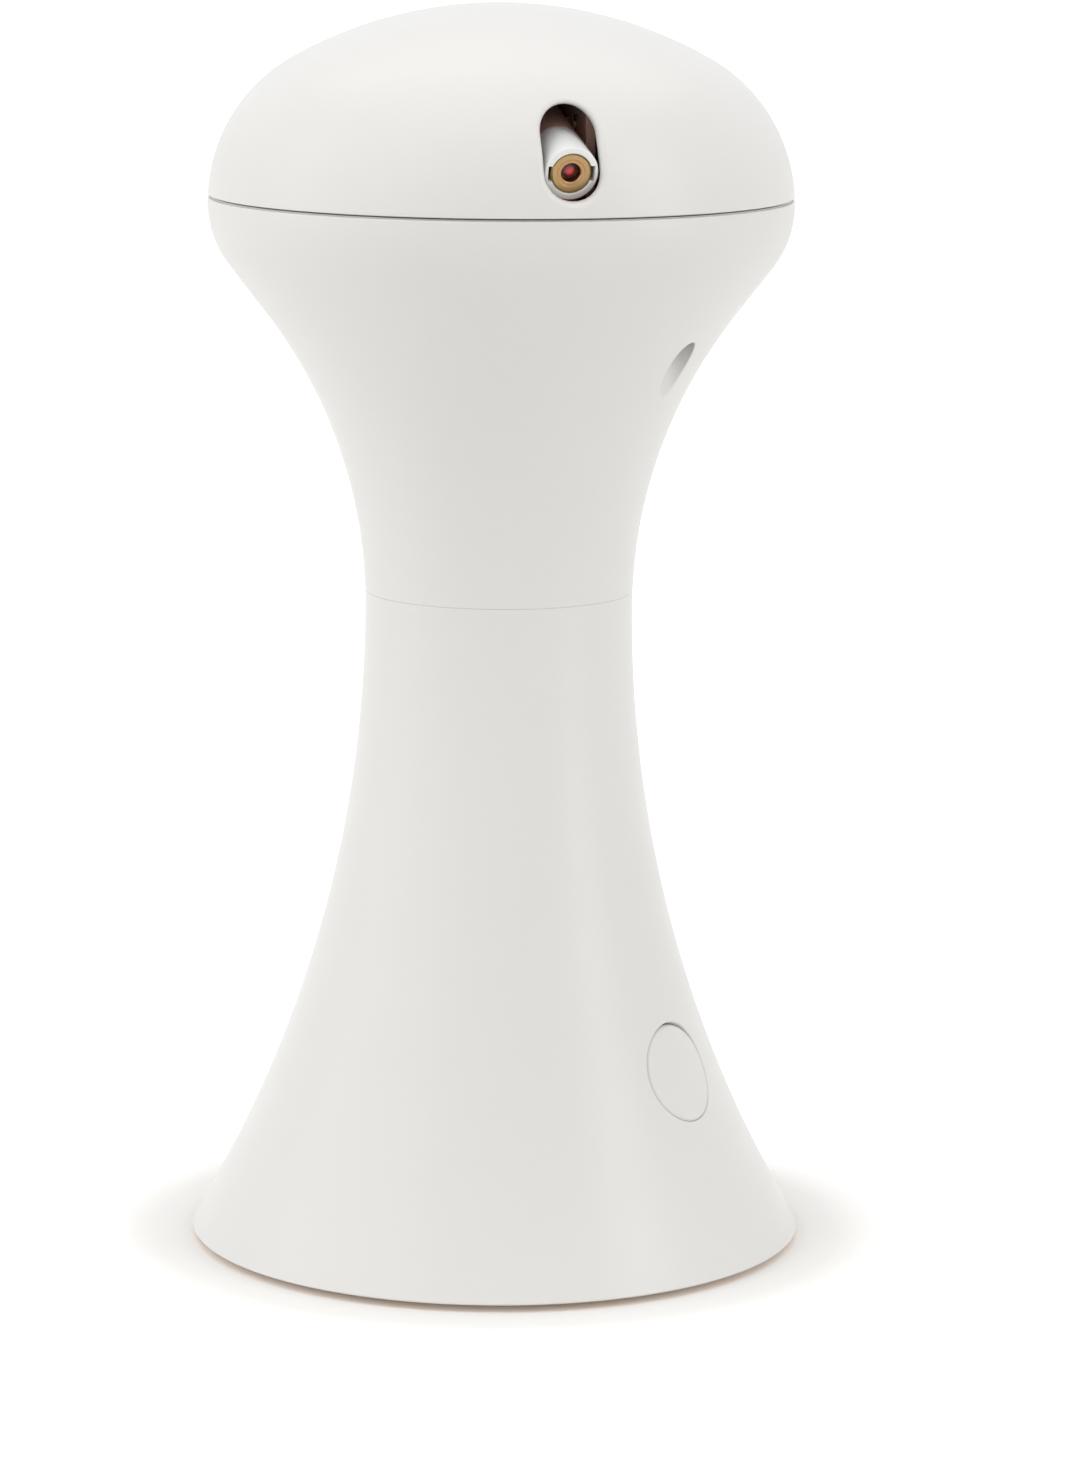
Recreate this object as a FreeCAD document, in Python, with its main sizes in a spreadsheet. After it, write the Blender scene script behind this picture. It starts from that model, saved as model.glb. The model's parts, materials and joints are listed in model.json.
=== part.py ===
import FreeCAD, Part
import math
import os
import re

import Sketcher
from FreeCAD import Placement, Rotation, Vector

# An automatic cat laser toy: a flared stand, a funnel on its neck and a domed head that turns on the
# funnel and points two tilting lasers at the floor, front and back. Millimetres, +Z up. The origin
# lies on the floor, under the middle of the stand, and -Y is the front.
#
# Three directions set the pieces out, each an angle about Z from the front:
#   the door and feet   lie square to the frame;
#   side_angle          turns the stand's button, the funnel's screw wells and the gear train;
#   head_angle          turns the head, whose lasers then point along the turned -Y and +Y.

SIZES = {
    # the outer form, from the floor up
    "base_radius": 63.0,
    "skirt_lift": 1.5,
    "neck_radius": 27.2,
    "neck_height": 131.5,
    "seam_rise": 3.0,
    "flare_height": 81.5,
    "flare_run": 12.194,
    "lip_radius": 20.0,
    "head_radius": 59.0,
    "lip_rise": 1.1,
    "head_gap": 1.1,
    "shoulder_radius": 33.3,
    "crown_rise": 6.7,
    "wall": 2.2,
    "core_margin": 0.6,
    "side_angle": 57.8,
    "head_angle": 14.0,
    # play between pieces
    "air": 0.35,
    "running": 0.05,
    "play": 0.05,
    # the spigot under the funnel
    "spigot_depth": 7.0,
    "spigot_wall": 1.8,
    "spigot_gap": 0.2,
    # bottom plate, feet and bosses
    "foot_height": 2.0,
    "foot_radius": 4.5,
    "plate_thickness": 2.4,
    "boss_radius": 3.5,
    "boss_length": 12.0,
    "boss_bite": 1.4,
    "screw_radius": 1.5,
    "screw_head_radius": 2.7,
    "screw_head_height": 1.5,
    "screw_length": 11.0,
    "blind_floor": 1.0,
    # battery bay
    "cell_radius": 7.25,
    "cell_length": 49.2,
    "nub_radius": 2.75,
    "nub_length": 1.3,
    "cell_gap": 0.3,
    "contact_room": 3.0,
    "tray_wall": 1.6,
    "ledge": 1.0,
    "contact_sheet": 0.4,
    "contact_width": 9.0,
    "spring_width": 4.0,
    "spring_length": 8.0,
    "dimple_radius": 2.2,
    # battery door
    "hinge_pin_radius": 0.7,
    "hinge_pin_length": 1.8,
    "finger_radius": 9.0,
    "finger_depth": 1.0,
    "door_play": 0.3,
    # push button and its board
    "button_height": 39.4,
    "button_radius": 10.0,
    "button_wall": 2.0,
    "flange_radius": 11.6,
    "flange_thickness": 1.2,
    "stem_radius": 3.0,
    "stem_depth": 7.0,
    "switch_gap": 1.9,
    "flange_gap": 1.6,
    "button_travel": 0.8,
    "plunger_radius": 1.75,
    "plunger_length": 3.4,
    "switch_side": 6.0,
    "switch_height": 3.5,
    "board_thickness": 1.6,
    "board_width": 36.0,
    "board_height": 16.0,
    "post_spacing": 30.0,
    "post_radius": 2.6,
    "small_screw_radius": 1.0,
    "small_head_radius": 2.0,
    "small_head_height": 1.2,
    "board_screw_length": 5.0,
    "chip_length": 9.0,
    "chip_width": 5.0,
    "chip_height": 1.6,
    "chip_offset": 6.0,
    "capacitor_radius": 2.5,
    "capacitor_length": 6.0,
    "capacitor_offset": 7.0,
    # wells in the funnel
    "well_radius": 3.65,
    "well_wall": 1.7,
    "well_inset": 17.2,
    "well_floor_thickness": 2.5,
    # top plate, posts and bush
    "deck_thickness": 2.4,
    "deck_gap": 3.5,
    "deck_boss_height": 5.0,
    "deck_boss_radius": 4.2,
    "shaft_radius": 3.0,
    "bush_wall": 2.0,
    "bush_flange_radius": 7.5,
    "bush_flange_height": 1.0,
    "bush_drop": 4.0,
    "hub_radius": 8.0,
    "washer_height": 0.6,
    # gear train
    "gear_module": 1.0,
    "pinion_teeth": 10,
    "wheel_teeth": 32,
    "pressure_angle": 25.0,
    "addendum": 0.8,
    "dedendum": 1.1,
    "backlash": 0.3,
    "gearbox_thickness": 2.0,
    "gearbox_margin": 4.5,
    "gear_post_radius": 3.2,
    "post_gap": 1.5,
    "post_side_gap": 6.0,
    "axle_radius": 1.5,
    "idler_hub_radius": 3.2,
    "wheel_height": 4.0,
    "pinion_overhang": 0.6,
    "pinion_lift": 2.0,
    "stage_gap": 1.6,
    "output_gap": 1.7,
    "output_hub_radius": 6.0,
    "clip_radius": 5.0,
    "clip_height": 0.8,
    # motor
    "motor_radius": 10.0,
    "motor_flat": 7.7,
    "motor_length": 25.0,
    "motor_cap_height": 3.0,
    "motor_nose_radius": 3.0,
    "motor_nose_height": 1.5,
    "motor_shaft_radius": 1.0,
    "motor_shaft_depth": 8.0,
    "motor_screw_ring": 7.0,
    "motor_screw_depth": 4.0,
    "gear_screw_length": 8.0,
    # turning head
    "chassis_thickness": 2.6,
    "chassis_drop": 0.2,
    "chassis_gap": 0.9,
    "rim_height": 2.0,
    "rim_width": 2.4,
    "rim_gap": 0.5,
    "chassis_hub_height": 4.0,
    "dome_boss_radius": 3.6,
    "dome_screw_inset": 17.0,
    "dome_screw_length": 12.0,
    # laser slots
    "slot_rise": 2.5,
    "slot_height": 18.2,
    "slot_play": 0.35,
    # tilting lasers
    "rest_tilt": 16.0,
    "pivot_inset": 29.0,
    "pivot_rise": 15.2,
    "tube_radius": 5.3,
    "tube_reach": 26.3,
    "tube_back": 7.0,
    "tube_length": 12.0,
    "slit_width": 3.0,
    "slit_depth": 5.0,
    "slit_bite": 0.6,
    "trunnion_radius": 2.0,
    "module_radius": 4.0,
    "module_length": 24.0,
    "module_inset": 0.3,
    "aperture_radius": 1.8,
    "aperture_depth": 3.0,
    "lens_thickness": 1.2,
    "lens_inset": 1.4,
    # laser brackets
    "cheek_gap": 0.5,
    "cheek_wall": 1.8,
    "cheek_rise": 4.5,
    "cheek_front": 14.0,
    "bracket_floor": 1.6,
    "bracket_tab": 6.0,
    # slip ring
    "ring_board_thickness": 0.8,
    "track_width": 2.5,
    "track_pitch": 4.5,
    "track_margin": 1.5,
    "ring_board_gap": 1.0,
    "track_thickness": 0.1,
    "brush_block_width": 6.0,
    "brush_block_height": 1.2,
    "brush_sheet": 0.25,
    "brush_gap": 0.3,
    "brush_width": 1.6,
}

# What follows from the sizes. The heights run up the stand to the head, and from there down into the funnel.
LAYOUT = {
    # the stand's outline is one arc, upright at the neck, through the skirt's edge
    "column_radius": "((neck_height - skirt_lift)^2 + (base_radius - neck_radius)^2)"
                     " / (2 * (base_radius - neck_radius))",
    "neck_seam": "neck_height + seam_rise",
    "head_height": "neck_height + flare_height",
    # the funnel's flare leaves room for its lip and for the straight run between the two arcs
    "flare_radius": "((head_radius - lip_radius - neck_radius)^2 + flare_height^2"
                    " - lip_radius^2 - flare_run^2) / (2 * (head_radius - neck_radius))",
    "top_height": "head_height + shoulder_radius + crown_rise",
    # the dome's crown is level at its top and smooth where it meets the shoulder's arc
    "crown_radius": "((head_radius - shoulder_radius)^2 + (top_height - head_height)^2 - shoulder_radius^2)"
                    " / (2 * crown_rise)",
    "dome_foot": "head_height + lip_rise + head_gap",
    "core_depth": "wall + core_margin",
    "spigot_seat": "neck_radius - core_depth",
    # bottom plate and battery bay
    "plate_top": "foot_height + plate_thickness",
    "plate_edge": "neck_radius + column_radius - air"
                  " - sqrt((column_radius + core_depth)^2 - (neck_height - plate_top)^2)",
    "door_thickness": "plate_thickness - door_play",
    "door_top": "foot_height + door_thickness",
    "cell_height": "door_top + cell_gap + cell_radius",
    "bay_half_width": "4 * cell_radius + 2.5 * cell_gap",
    "bay_half_length": "(cell_length + nub_length) / 2 + contact_room",
    "bay_top": "cell_height + cell_radius + cell_gap",
    "spring_lean": "asin((contact_room - 2 * contact_sheet) / spring_length)",
    "door_half_width": "bay_half_width + ledge",
    "door_half_length": "bay_half_length + ledge",
    "knuckle_radius": "door_thickness / 2",
    "hinge_line": "door_half_length - knuckle_radius",
    "hinge_height": "foot_height + knuckle_radius",
    # the feet stand midway between the door's corners and the plate's edge, the bosses by the skirt's wall
    "foot_ring": "(sqrt(door_half_width^2 + door_half_length^2) + plate_edge) / 2",
    "boss_top": "plate_top + boss_length",
    "boss_ring": "neck_radius + column_radius - boss_radius + boss_bite"
                 " - sqrt((column_radius + core_depth)^2 - (neck_height - boss_top)^2)",
    # the button's pieces, by their depth behind its face
    "flange_depth": "core_depth + flange_gap",
    "switch_depth": "stem_depth + switch_gap",
    # from the dome's lower edge down into the funnel
    "chassis_top": "dome_foot - chassis_drop",
    "chassis_height": "chassis_top - chassis_thickness",
    "rim_top": "chassis_top + rim_height",
    "deck_top": "chassis_height - deck_gap",
    "deck_height": "deck_top - deck_thickness",
    "washer_foot": "deck_top + bush_flange_height",
    "bush_foot": "deck_height - bush_drop",
    "well_top": "deck_height - deck_boss_height",
    "well_floor": "well_top - well_floor_thickness",
    "well_ring": "head_radius - well_inset",
    "pinion_height": "wheel_height + 2 * pinion_overhang",
    "output_foot": "bush_foot - output_gap - wheel_height",
    "idler_pinion_foot": "output_foot - pinion_overhang",
    "idler_wheel_foot": "idler_pinion_foot - stage_gap - wheel_height",
    "motor_pinion_foot": "idler_wheel_foot - pinion_overhang",
    "gearbox_top": "motor_pinion_foot - pinion_lift",
    "gearbox_height": "gearbox_top - gearbox_thickness",
    "gear_centres": "gear_module * (pinion_teeth + wheel_teeth) / 2",
    "wheel_tip": "gear_module * (wheel_teeth / 2 + addendum)",
    "gear_post_back": "wheel_tip + gear_post_radius + post_gap",
    "gear_post_side": "wheel_tip + gear_post_radius + post_side_gap",
    # slip ring
    "ring_board_inner": "hub_radius + ring_board_gap",
    "track_inner": "ring_board_inner + track_margin",
    "track_edge": "track_inner + track_pitch + track_width",
    "ring_board_outer": "track_edge + track_margin",
    # dome, slots and lasers
    "dome_screw_ring": "head_radius - dome_screw_inset",
    "slot_foot": "dome_foot + slot_rise",
    "slot_head": "slot_foot + slot_height",
    "slot_width": "2 * (tube_radius + slot_play)",
    "pivot_ring": "head_radius - pivot_inset",
    "pivot_height": "chassis_top + pivot_rise",
    "cheek_inner": "tube_radius + cheek_gap",
    "bracket_back": "sqrt(tube_back^2 + tube_radius^2) + cheek_gap + cheek_wall",
}

doc = FreeCAD.newDocument("cat_laser_toy")
sheet = doc.addObject("Spreadsheet::Sheet", "Sizes")
CELLS = {**SIZES, **{alias: "=" + text for alias, text in LAYOUT.items()}}
for row, (alias, content) in enumerate(CELLS.items(), start=1):
    sheet.set(f"A{row}", alias)
    sheet.set(f"B{row}", str(content))
    sheet.setAlias(f"B{row}", alias)
doc.recompute()

nodes = []


# ---------------------------------------------------------------------------------------------- expressions

def cells(text):
    """An expression with each size's name turned into its cell of the sheet."""
    return re.sub(r"[a-z_]+", lambda word: "Sizes." + word[0] if word[0] in CELLS else word[0], str(text))


def value(text):
    """The number that an expression of the sheet's sizes comes to."""
    return float(sheet.evalExpression(cells(text)))


# Where the cores' corners lie, as shares of the stand's height, the flare's height and the shoulder's.
CORE_SHARES = (0, 0.2, 0.45, 0.7, 1)
FLARE_SHARES = (0.4, 0.7, 1)
SHOULDER_SHARES = (0.5, 0.75)


def column_radius_at(height, depth="0"):
    """The stand's radius at a height, a depth inside its outer face."""
    reach = f"(column_radius + {depth})"
    return f"(neck_radius + column_radius - sqrt({reach}^2 - (neck_height - {height})^2))"


def flare_radius_at(height):
    """The funnel's inner radius at a height within its flare's arc, at a corner of its core."""
    reach = "(flare_radius + core_depth)"
    return f"(neck_radius + flare_radius - sqrt({reach}^2 - ({height} - neck_height)^2))"


def lip_radius_at(height):
    """The funnel's inner radius at a height within its lip's arc."""
    return f"(head_radius - lip_radius + sqrt((lip_radius - wall)^2 - (head_height - {height})^2))"


def dome_radius_at(height):
    """The dome's inner radius at a height within its shoulder's arc."""
    return f"(head_radius - shoulder_radius + sqrt((shoulder_radius - wall)^2 - ({height} - head_height)^2))"


# ---------------------------------------------------------------------------------------------- solids

def bind(item, bindings):
    """Bind an object's properties to expressions of the sheet's sizes."""
    for name, text in bindings.items():
        item.setExpression(name, cells(text))
    return item


def place(item, at):
    """Bind an object's position to three expressions; a plain 0 leaves that axis free."""
    return bind(item, {f"Placement.Base.{axis}": text for axis, text in zip("xyz", at) if text != 0})


def turn(item, axis, angle):
    """Turn an object about an axis through its own origin, by an expression in degrees."""
    item.Placement.Rotation = Rotation(Vector(*axis), 1)
    return bind(item, {"Placement.Rotation.Angle": angle})


def cylinder(name, radius, height, at=(0, 0, 0), axis="Z"):
    """A round bar from at, along +X, +Y or +Z."""
    item = doc.addObject("Part::Cylinder", name)
    bind(item, {"Radius": radius, "Height": height})
    if axis == "X":
        item.Placement.Rotation = Rotation(Vector(0, 1, 0), 90)
    if axis == "Y":
        item.Placement.Rotation = Rotation(Vector(1, 0, 0), -90)
    return place(item, at)


def block(name, size, at=(0, 0, 0)):
    """A block of three sizes, whose lowest corner is at."""
    item = doc.addObject("Part::Box", name)
    bind(item, dict(zip(("Length", "Width", "Height"), size)))
    return place(item, at)


def fuse(name, *parts):
    """One solid of several."""
    item = doc.addObject("Part::MultiFuse", name)
    item.Shapes = list(parts)
    return item


def cut(name, base, *tools):
    """A solid less others."""
    item = doc.addObject("Part::Cut", name)
    item.Base = base
    item.Tool = tools[0] if len(tools) == 1 else group(name + "_tools", *tools)
    return item


def common(name, base, tool):
    """What two solids share."""
    item = doc.addObject("Part::Common", name)
    item.Base = base
    item.Tool = tool
    return item


def group(name, *parts):
    """Several solids kept apart in one object."""
    item = doc.addObject("Part::Compound", name)
    item.Links = list(parts)
    return item


def ring(name, inner, outer, height, at=(0, 0, 0)):
    """A flat ring."""
    whole = cylinder(name + "_outer", outer, height, at)
    return cut(name, whole, cylinder(name + "_inner", inner, height, at))


def solid_of(name, shape):
    """An object that holds a shape made directly."""
    item = doc.addObject("Part::Feature", name)
    item.Shape = shape
    return item


def free(item):
    """An object that can be placed: itself, or a holder round it where its own position is bound."""
    bound = any("Placement" in path for path, _ in item.ExpressionEngine)
    return group(item.Name + "_holder", item) if bound else item


def node(item, label, placement=None):
    """Name a finished sub-part, place it and keep it for writing."""
    if placement is not None:
        item = free(item)
        item.Placement = placement.multiply(item.Placement)
    item.Label = label
    nodes.append(item)
    return item


def about_z(angle):
    """A turn about the vertical axis, by an expression in degrees."""
    return Placement(Vector(), Rotation(Vector(0, 0, 1), value(angle)))


def side():
    return about_z("side_angle")


def head():
    return about_z("head_angle")


# ---------------------------------------------------------------------------------------------- sketches

class Outline:
    """A closed outline in a sketch, drawn edge by edge, with its corners and radii bound to the sheet."""

    def __init__(self, body, name, plane="XZ_Plane"):
        self.sketch = body.newObject("Sketcher::SketchObject", name)
        support = next(item for item in body.Origin.OriginFeatures if item.Role == plane)
        self.sketch.AttachmentSupport = [(support, "")]
        self.sketch.MapMode = "FlatFace"
        self.ends = []

    def constrain(self, *arguments):
        return self.sketch.addConstraint(Sketcher.Constraint(*arguments))

    def fix(self, edge, point, x=None, y=None):
        """Bind a point's distances from the origin: point 1 is an edge's start, 2 its end, 3 its centre."""
        for kind, text in (("DistanceX", x), ("DistanceY", y)):
            if text is not None:
                index = self.constrain(kind, -1, 1, edge, point, value(text))
                self.sketch.setExpression(f"Constraints[{index}]", cells(text))

    def line(self, start, end):
        """A straight edge between two points in numbers; its corners are bound later, by fix or corners."""
        edge = self.sketch.addGeometry(Part.LineSegment(Vector(*start, 0), Vector(*end, 0)), False)
        self.ends.append((edge, 1, 2))
        return edge

    def arc(self, centre, radius, first, last):
        """An arc from one angle to another, in radians; anticlockwise if last is larger."""
        circle = Part.Circle(Vector(*centre, 0), Vector(0, 0, 1), radius)
        low, high = min(first, last), max(first, last)
        edge = self.sketch.addGeometry(Part.ArcOfCircle(circle, low, high), False)
        self.ends.append((edge, 1, 2) if last > first else (edge, 2, 1))
        return edge

    def radius(self, edge, text):
        index = self.constrain("Radius", edge, value(text))
        self.sketch.setExpression(f"Constraints[{index}]", cells(text))

    def join(self, tangents=()):
        """Close the outline; tangents lists the edges that run smoothly into the next one."""
        for index, (edge, _, last) in enumerate(self.ends):
            after, first, _ = self.ends[(index + 1) % len(self.ends)]
            self.constrain("Tangent" if edge in tangents else "Coincident", edge, last, after, first)

    def corners(self, points):
        """Straight edges through corners given as pairs of expressions, each corner bound."""
        numbers = [(value(x), value(y)) for x, y in points]
        edges = [self.line(one, two) for one, two in zip(numbers, numbers[1:] + numbers[:1])]
        for edge, (x, y) in zip(edges, points):
            self.fix(edge, 1, x, y)
        self.join()


def body_named(name):
    return doc.addObject("PartDesign::Body", name)


def revolve(body, outline):
    """Turn a body's outline about the vertical axis."""
    turned = body.newObject("PartDesign::Revolution", body.Name + "_turned")
    turned.Profile = outline.sketch
    turned.ReferenceAxis = (outline.sketch, ["V_Axis"])
    turned.Angle = 360
    outline.sketch.Visibility = False
    return turned


def pad(body, outline, length, midplane=False):
    """Raise a body's outline by an expression."""
    raised = body.newObject("PartDesign::Pad", body.Name + "_pad")
    raised.Profile = outline.sketch
    raised.Midplane = midplane
    bind(raised, {"Length": length})
    return raised


def turned_body(name, points):
    """A turned body whose outline has straight edges only."""
    body = body_named(name)
    outline = Outline(body, name + "_outline")
    outline.corners(points)
    revolve(body, outline)
    return body


# ---------------------------------------------------------------------------------------------- outer forms

def column_form(name):
    """The stand's outer form, turned solid from the skirt's edge to the neck seam."""
    body = body_named(name)
    outline = Outline(body, name + "_outline")
    reach = value("column_radius")
    centre = (value("neck_radius + column_radius"), value("neck_height"))
    foot, seam = value("skirt_lift"), value("neck_seam")
    sweep = math.asin((centre[1] - foot) / reach)
    foot_radius = centre[0] - reach * math.cos(sweep)
    neck = centre[0] - reach
    curve = outline.arc(centre, reach, math.pi + sweep, math.pi)
    collar = outline.line((neck, centre[1]), (neck, seam))
    top = outline.line((neck, seam), (0, seam))
    outline.line((0, seam), (0, foot))
    outline.line((0, foot), (foot_radius, foot))
    outline.join()
    outline.fix(curve, 3, "neck_radius + column_radius", "neck_height")
    outline.fix(curve, 1, None, "neck_height")
    outline.fix(curve, 2, None, "skirt_lift")
    outline.radius(curve, "column_radius")
    outline.constrain("Vertical", collar)
    outline.fix(top, 1, None, "neck_seam")
    outline.fix(top, 2, "0", "neck_seam")
    outline.fix(top + 1, 2, "0", "skirt_lift")
    revolve(body, outline)
    return body


def flare_arcs():
    """The funnel's two arcs, and the angle at which the straight run between them leaves each."""
    hollow, bulge = value("flare_radius"), value("lip_radius")
    low = (value("neck_radius + flare_radius"), value("neck_height"))
    high = (value("head_radius - lip_radius"), value("head_height"))
    across, up = high[0] - low[0], high[1] - low[1]
    angle = math.acos(-(hollow + bulge) / math.hypot(across, up)) - math.atan2(up, across)
    return hollow, bulge, low, high, angle


def funnel_form(name, foot, top):
    """The funnel's outer form, turned solid between two heights."""
    body = body_named(name)
    outline = Outline(body, name + "_outline")
    hollow, bulge, low, high, angle = flare_arcs()
    first = math.asin((value(foot) - low[1]) / hollow)
    foot_radius = low[0] - hollow * math.cos(first)
    lip = high[0] + bulge
    run_foot = (low[0] - hollow * math.cos(angle), low[1] + hollow * math.sin(angle))
    run_head = (high[0] + bulge * math.cos(angle), high[1] - bulge * math.sin(angle))
    flare = outline.arc(low, hollow, math.pi - first, math.pi - angle)
    run = outline.line(run_foot, run_head)
    bend = outline.arc(high, bulge, -angle, 0)
    wall = outline.line((lip, high[1]), (lip, value(top)))
    roof = outline.line((lip, value(top)), (0, value(top)))
    outline.line((0, value(top)), (0, value(foot)))
    outline.line((0, value(foot)), (foot_radius, value(foot)))
    outline.join(tangents=(flare, run))
    outline.fix(flare, 3, "neck_radius + flare_radius", "neck_height")
    outline.radius(flare, "flare_radius")
    outline.fix(flare, 2, None, foot)
    outline.fix(bend, 3, "head_radius - lip_radius", "head_height")
    outline.radius(bend, "lip_radius")
    outline.fix(bend, 2, None, "head_height")
    outline.constrain("Vertical", wall)
    outline.fix(roof, 1, None, top)
    outline.fix(roof, 2, "0", top)
    outline.fix(roof + 1, 2, "0", foot)
    revolve(body, outline)
    return body


def dome_form(name):
    """The dome's outer form, turned solid down to its lower edge."""
    body = body_named(name)
    outline = Outline(body, name + "_outline")
    foot = value("dome_foot")
    shoulder = value("shoulder_radius")
    centre = (value("head_radius - shoulder_radius"), value("head_height"))
    rise = value("top_height - head_height")
    crown = value("crown_radius")
    meet = math.atan2(crown - rise, centre[0])
    crown_centre = (0, centre[1] + rise - crown)
    start = math.asin((foot - centre[1]) / shoulder)
    edge_radius = centre[0] + shoulder * math.cos(start)
    peak = value("top_height")
    side_arc = outline.arc(centre, shoulder, start, meet)
    top_arc = outline.arc(crown_centre, crown, meet, math.pi / 2)
    outline.line((0, peak), (0, foot))
    floor = outline.line((0, foot), (edge_radius, foot))
    outline.join(tangents=(side_arc,))
    outline.fix(side_arc, 3, "head_radius - shoulder_radius", "head_height")
    outline.radius(side_arc, "shoulder_radius")
    outline.fix(side_arc, 1, None, "dome_foot")
    outline.fix(top_arc, 3, "0", None)
    outline.fix(top_arc, 2, "0", "top_height")
    outline.fix(floor, 1, "0", "dome_foot")
    revolve(body, outline)
    return body


def core(name, corners, foot, top):
    """The moulding core inside a shell: straight-sided steps through corners, between two heights."""
    return turned_body(name, [("0", foot)] + corners + [("0", top)])


def column_core():
    """The hollow of the stand, a wall inside its face; each step's corners lie core_margin deeper."""
    heights = [f"(skirt_lift + {share} * (neck_height - skirt_lift))" for share in CORE_SHARES]
    corners = [(column_radius_at(height, "core_depth"), height) for height in heights]
    return core("column_core", corners + [("spigot_seat", "neck_seam")], heights[0], "neck_seam")


def funnel_core(foot, top):
    """The hollow of the funnel, in steps up its flare and then up its lip."""
    corners = [("neck_radius - wall", foot)]
    for share in FLARE_SHARES:
        height = f"(neck_height + {share} * (head_height - lip_radius - neck_height))"
        corners.append((flare_radius_at(height), height))
    corners.append((lip_radius_at("deck_height"), "deck_height"))
    corners.append(("head_radius - wall", "head_height"))
    return core("funnel_core", corners + [("head_radius - wall", top)], foot, top)


def dome_core():
    """The hollow of the dome, in steps round its shoulder and over its crown."""
    heights = ["dome_foot", "rim_top"]
    heights += [f"(head_height + {share} * shoulder_radius)" for share in SHOULDER_SHARES]
    corners = [(dome_radius_at(height), height) for height in heights]
    middle = "(head_radius - shoulder_radius)"
    reach = "(crown_radius - wall)"
    corners.append((middle, f"(top_height - crown_radius + sqrt({reach}^2 - {middle}^2))"))
    return core("dome_core", corners, "dome_foot", "top_height - wall")


# ---------------------------------------------------------------------------------------------- stand

def button_seat(depth="0"):
    """The place on the stand's face where the button's axis leaves it, a depth inside; +Z points outward."""
    lean = math.degrees(math.asin(value("(neck_height - button_height) / column_radius")))
    point = Vector(0, -value(column_radius_at("button_height")), value("button_height"))
    upright = Placement(point, Rotation(Vector(1, 0, 0), 90 - lean))
    return upright.multiply(Placement(Vector(0, 0, -value(depth)), Rotation()))


def on_seat(item, depth):
    """Stand an object on the button's axis, its own +Z outward, from a depth inside the face."""
    item = free(item)
    item.Placement = button_seat(depth).multiply(item.Placement)
    return item


def post_bars(name, radius, depth, length):
    """Two round bars beside the button's axis, at the board's screw posts."""
    bars = []
    for index, way in enumerate((-1, 1)):
        bar = cylinder(f"{name}_{index}", radius, length)
        bar.Placement.Base = Vector(way * value("post_spacing / 2"), 0, 0)
        bars.append(on_seat(bar, depth))
    return bars


def plate_bars(name, radius, foot, length):
    """Four round bars at the screws of the bottom plate."""
    bars = []
    for index in range(4):
        bar = cylinder(f"{name}_{index}", radius, length, (0, 0, foot))
        bar.Placement.Base = Rotation(Vector(0, 0, 1), 90 * index).multVec(
            Vector(0, -value("boss_ring"), value(foot)))
        bars.append(bar)
    return bars


def base_shell(form):
    """The stand's housing: the column's wall, screw bosses in the skirt and two posts for the board."""
    board_face = "switch_depth + switch_height"
    wall = cut("column_wall", form, column_core())
    bosses = plate_bars("skirt_boss", "boss_radius", "plate_top", "boss_length")
    for bar in bosses:
        bar.Placement = side().inverse().multiply(bar.Placement)
    posts = post_bars("board_post", "post_radius", board_face, board_face)
    inside = common("column_bosses", form, fuse("column_bars", *bosses, *posts))
    opening = on_seat(cylinder("button_hole", "button_radius + air", "2 * stem_depth"), "stem_depth")
    skirt_pilots = plate_bars("skirt_pilot", "screw_radius + play", "plate_top", "boss_length - play")
    for bar in skirt_pilots:
        bar.Placement = side().inverse().multiply(bar.Placement)
    post_pilots = post_bars("post_pilot", "small_screw_radius + play", board_face, "board_screw_length")
    whole = fuse("column_whole", wall, inside)
    shell = cut("base_shell", whole, opening, *skirt_pilots, *post_pilots)
    node(shell, "base_shell", side())


def bottom_plate():
    """The plate that closes the skirt: the battery tray stands on it, over the door's opening."""
    edge = "plate_edge"
    disc = cylinder("plate_disc", edge, "plate_thickness", (0, 0, "foot_height"))
    half_width, half_length = "(bay_half_width + tray_wall)", "(bay_half_length + tray_wall)"
    tray = block("tray_outer", (f"2 * {half_width}", f"2 * {half_length}", "bay_top + tray_wall - plate_top"),
                 (f"-{half_width}", f"-{half_length}", "plate_top"))
    bay = block("tray_inner", ("2 * bay_half_width", "2 * bay_half_length", "bay_top"),
                ("-bay_half_width", "-bay_half_length", 0))
    gap_width, gap_length = "(door_half_width + air)", "(door_half_length + air)"
    opening = block("door_opening", (f"2 * {gap_width}", f"2 * {gap_length}", "plate_top"),
                    (f"-{gap_width}", f"-{gap_length}", 0))
    sockets = cylinder("hinge_sockets", "hinge_pin_radius + running",
                       f"2 * ({gap_width} + hinge_pin_length)",
                       (f"-{gap_width} - hinge_pin_length", "hinge_line", "hinge_height"), "X")
    holes = plate_bars("plate_hole", "screw_radius + play", "foot_height", "plate_thickness")
    sinks = plate_bars("plate_sink", "screw_head_radius + air", "foot_height", "screw_head_height")
    plate = cut("bottom_plate", fuse("plate_whole", disc, tray), bay, opening, sockets, *holes, *sinks)
    node(plate, "bottom_plate")


def bottom_screws():
    shanks = plate_bars("bottom_shank", "screw_radius", "foot_height + screw_head_height", "screw_length")
    heads = plate_bars("bottom_head", "screw_head_radius", "foot_height", "screw_head_height")
    screws = [fuse(f"bottom_screw_{index}", *pair) for index, pair in enumerate(zip(shanks, heads))]
    node(group("bottom_screws", *screws), "bottom_screws")


def rubber_feet():
    feet = []
    for index in range(4):
        foot = cylinder(f"foot_{index}", "foot_radius", "foot_height")
        quarter = Rotation(Vector(0, 0, 1), 45 + 90 * index)
        foot.Placement.Base = quarter.multVec(Vector(value("foot_ring"), 0, 0))
        feet.append(foot)
    node(group("rubber_feet", *feet), "rubber_feet")


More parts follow.
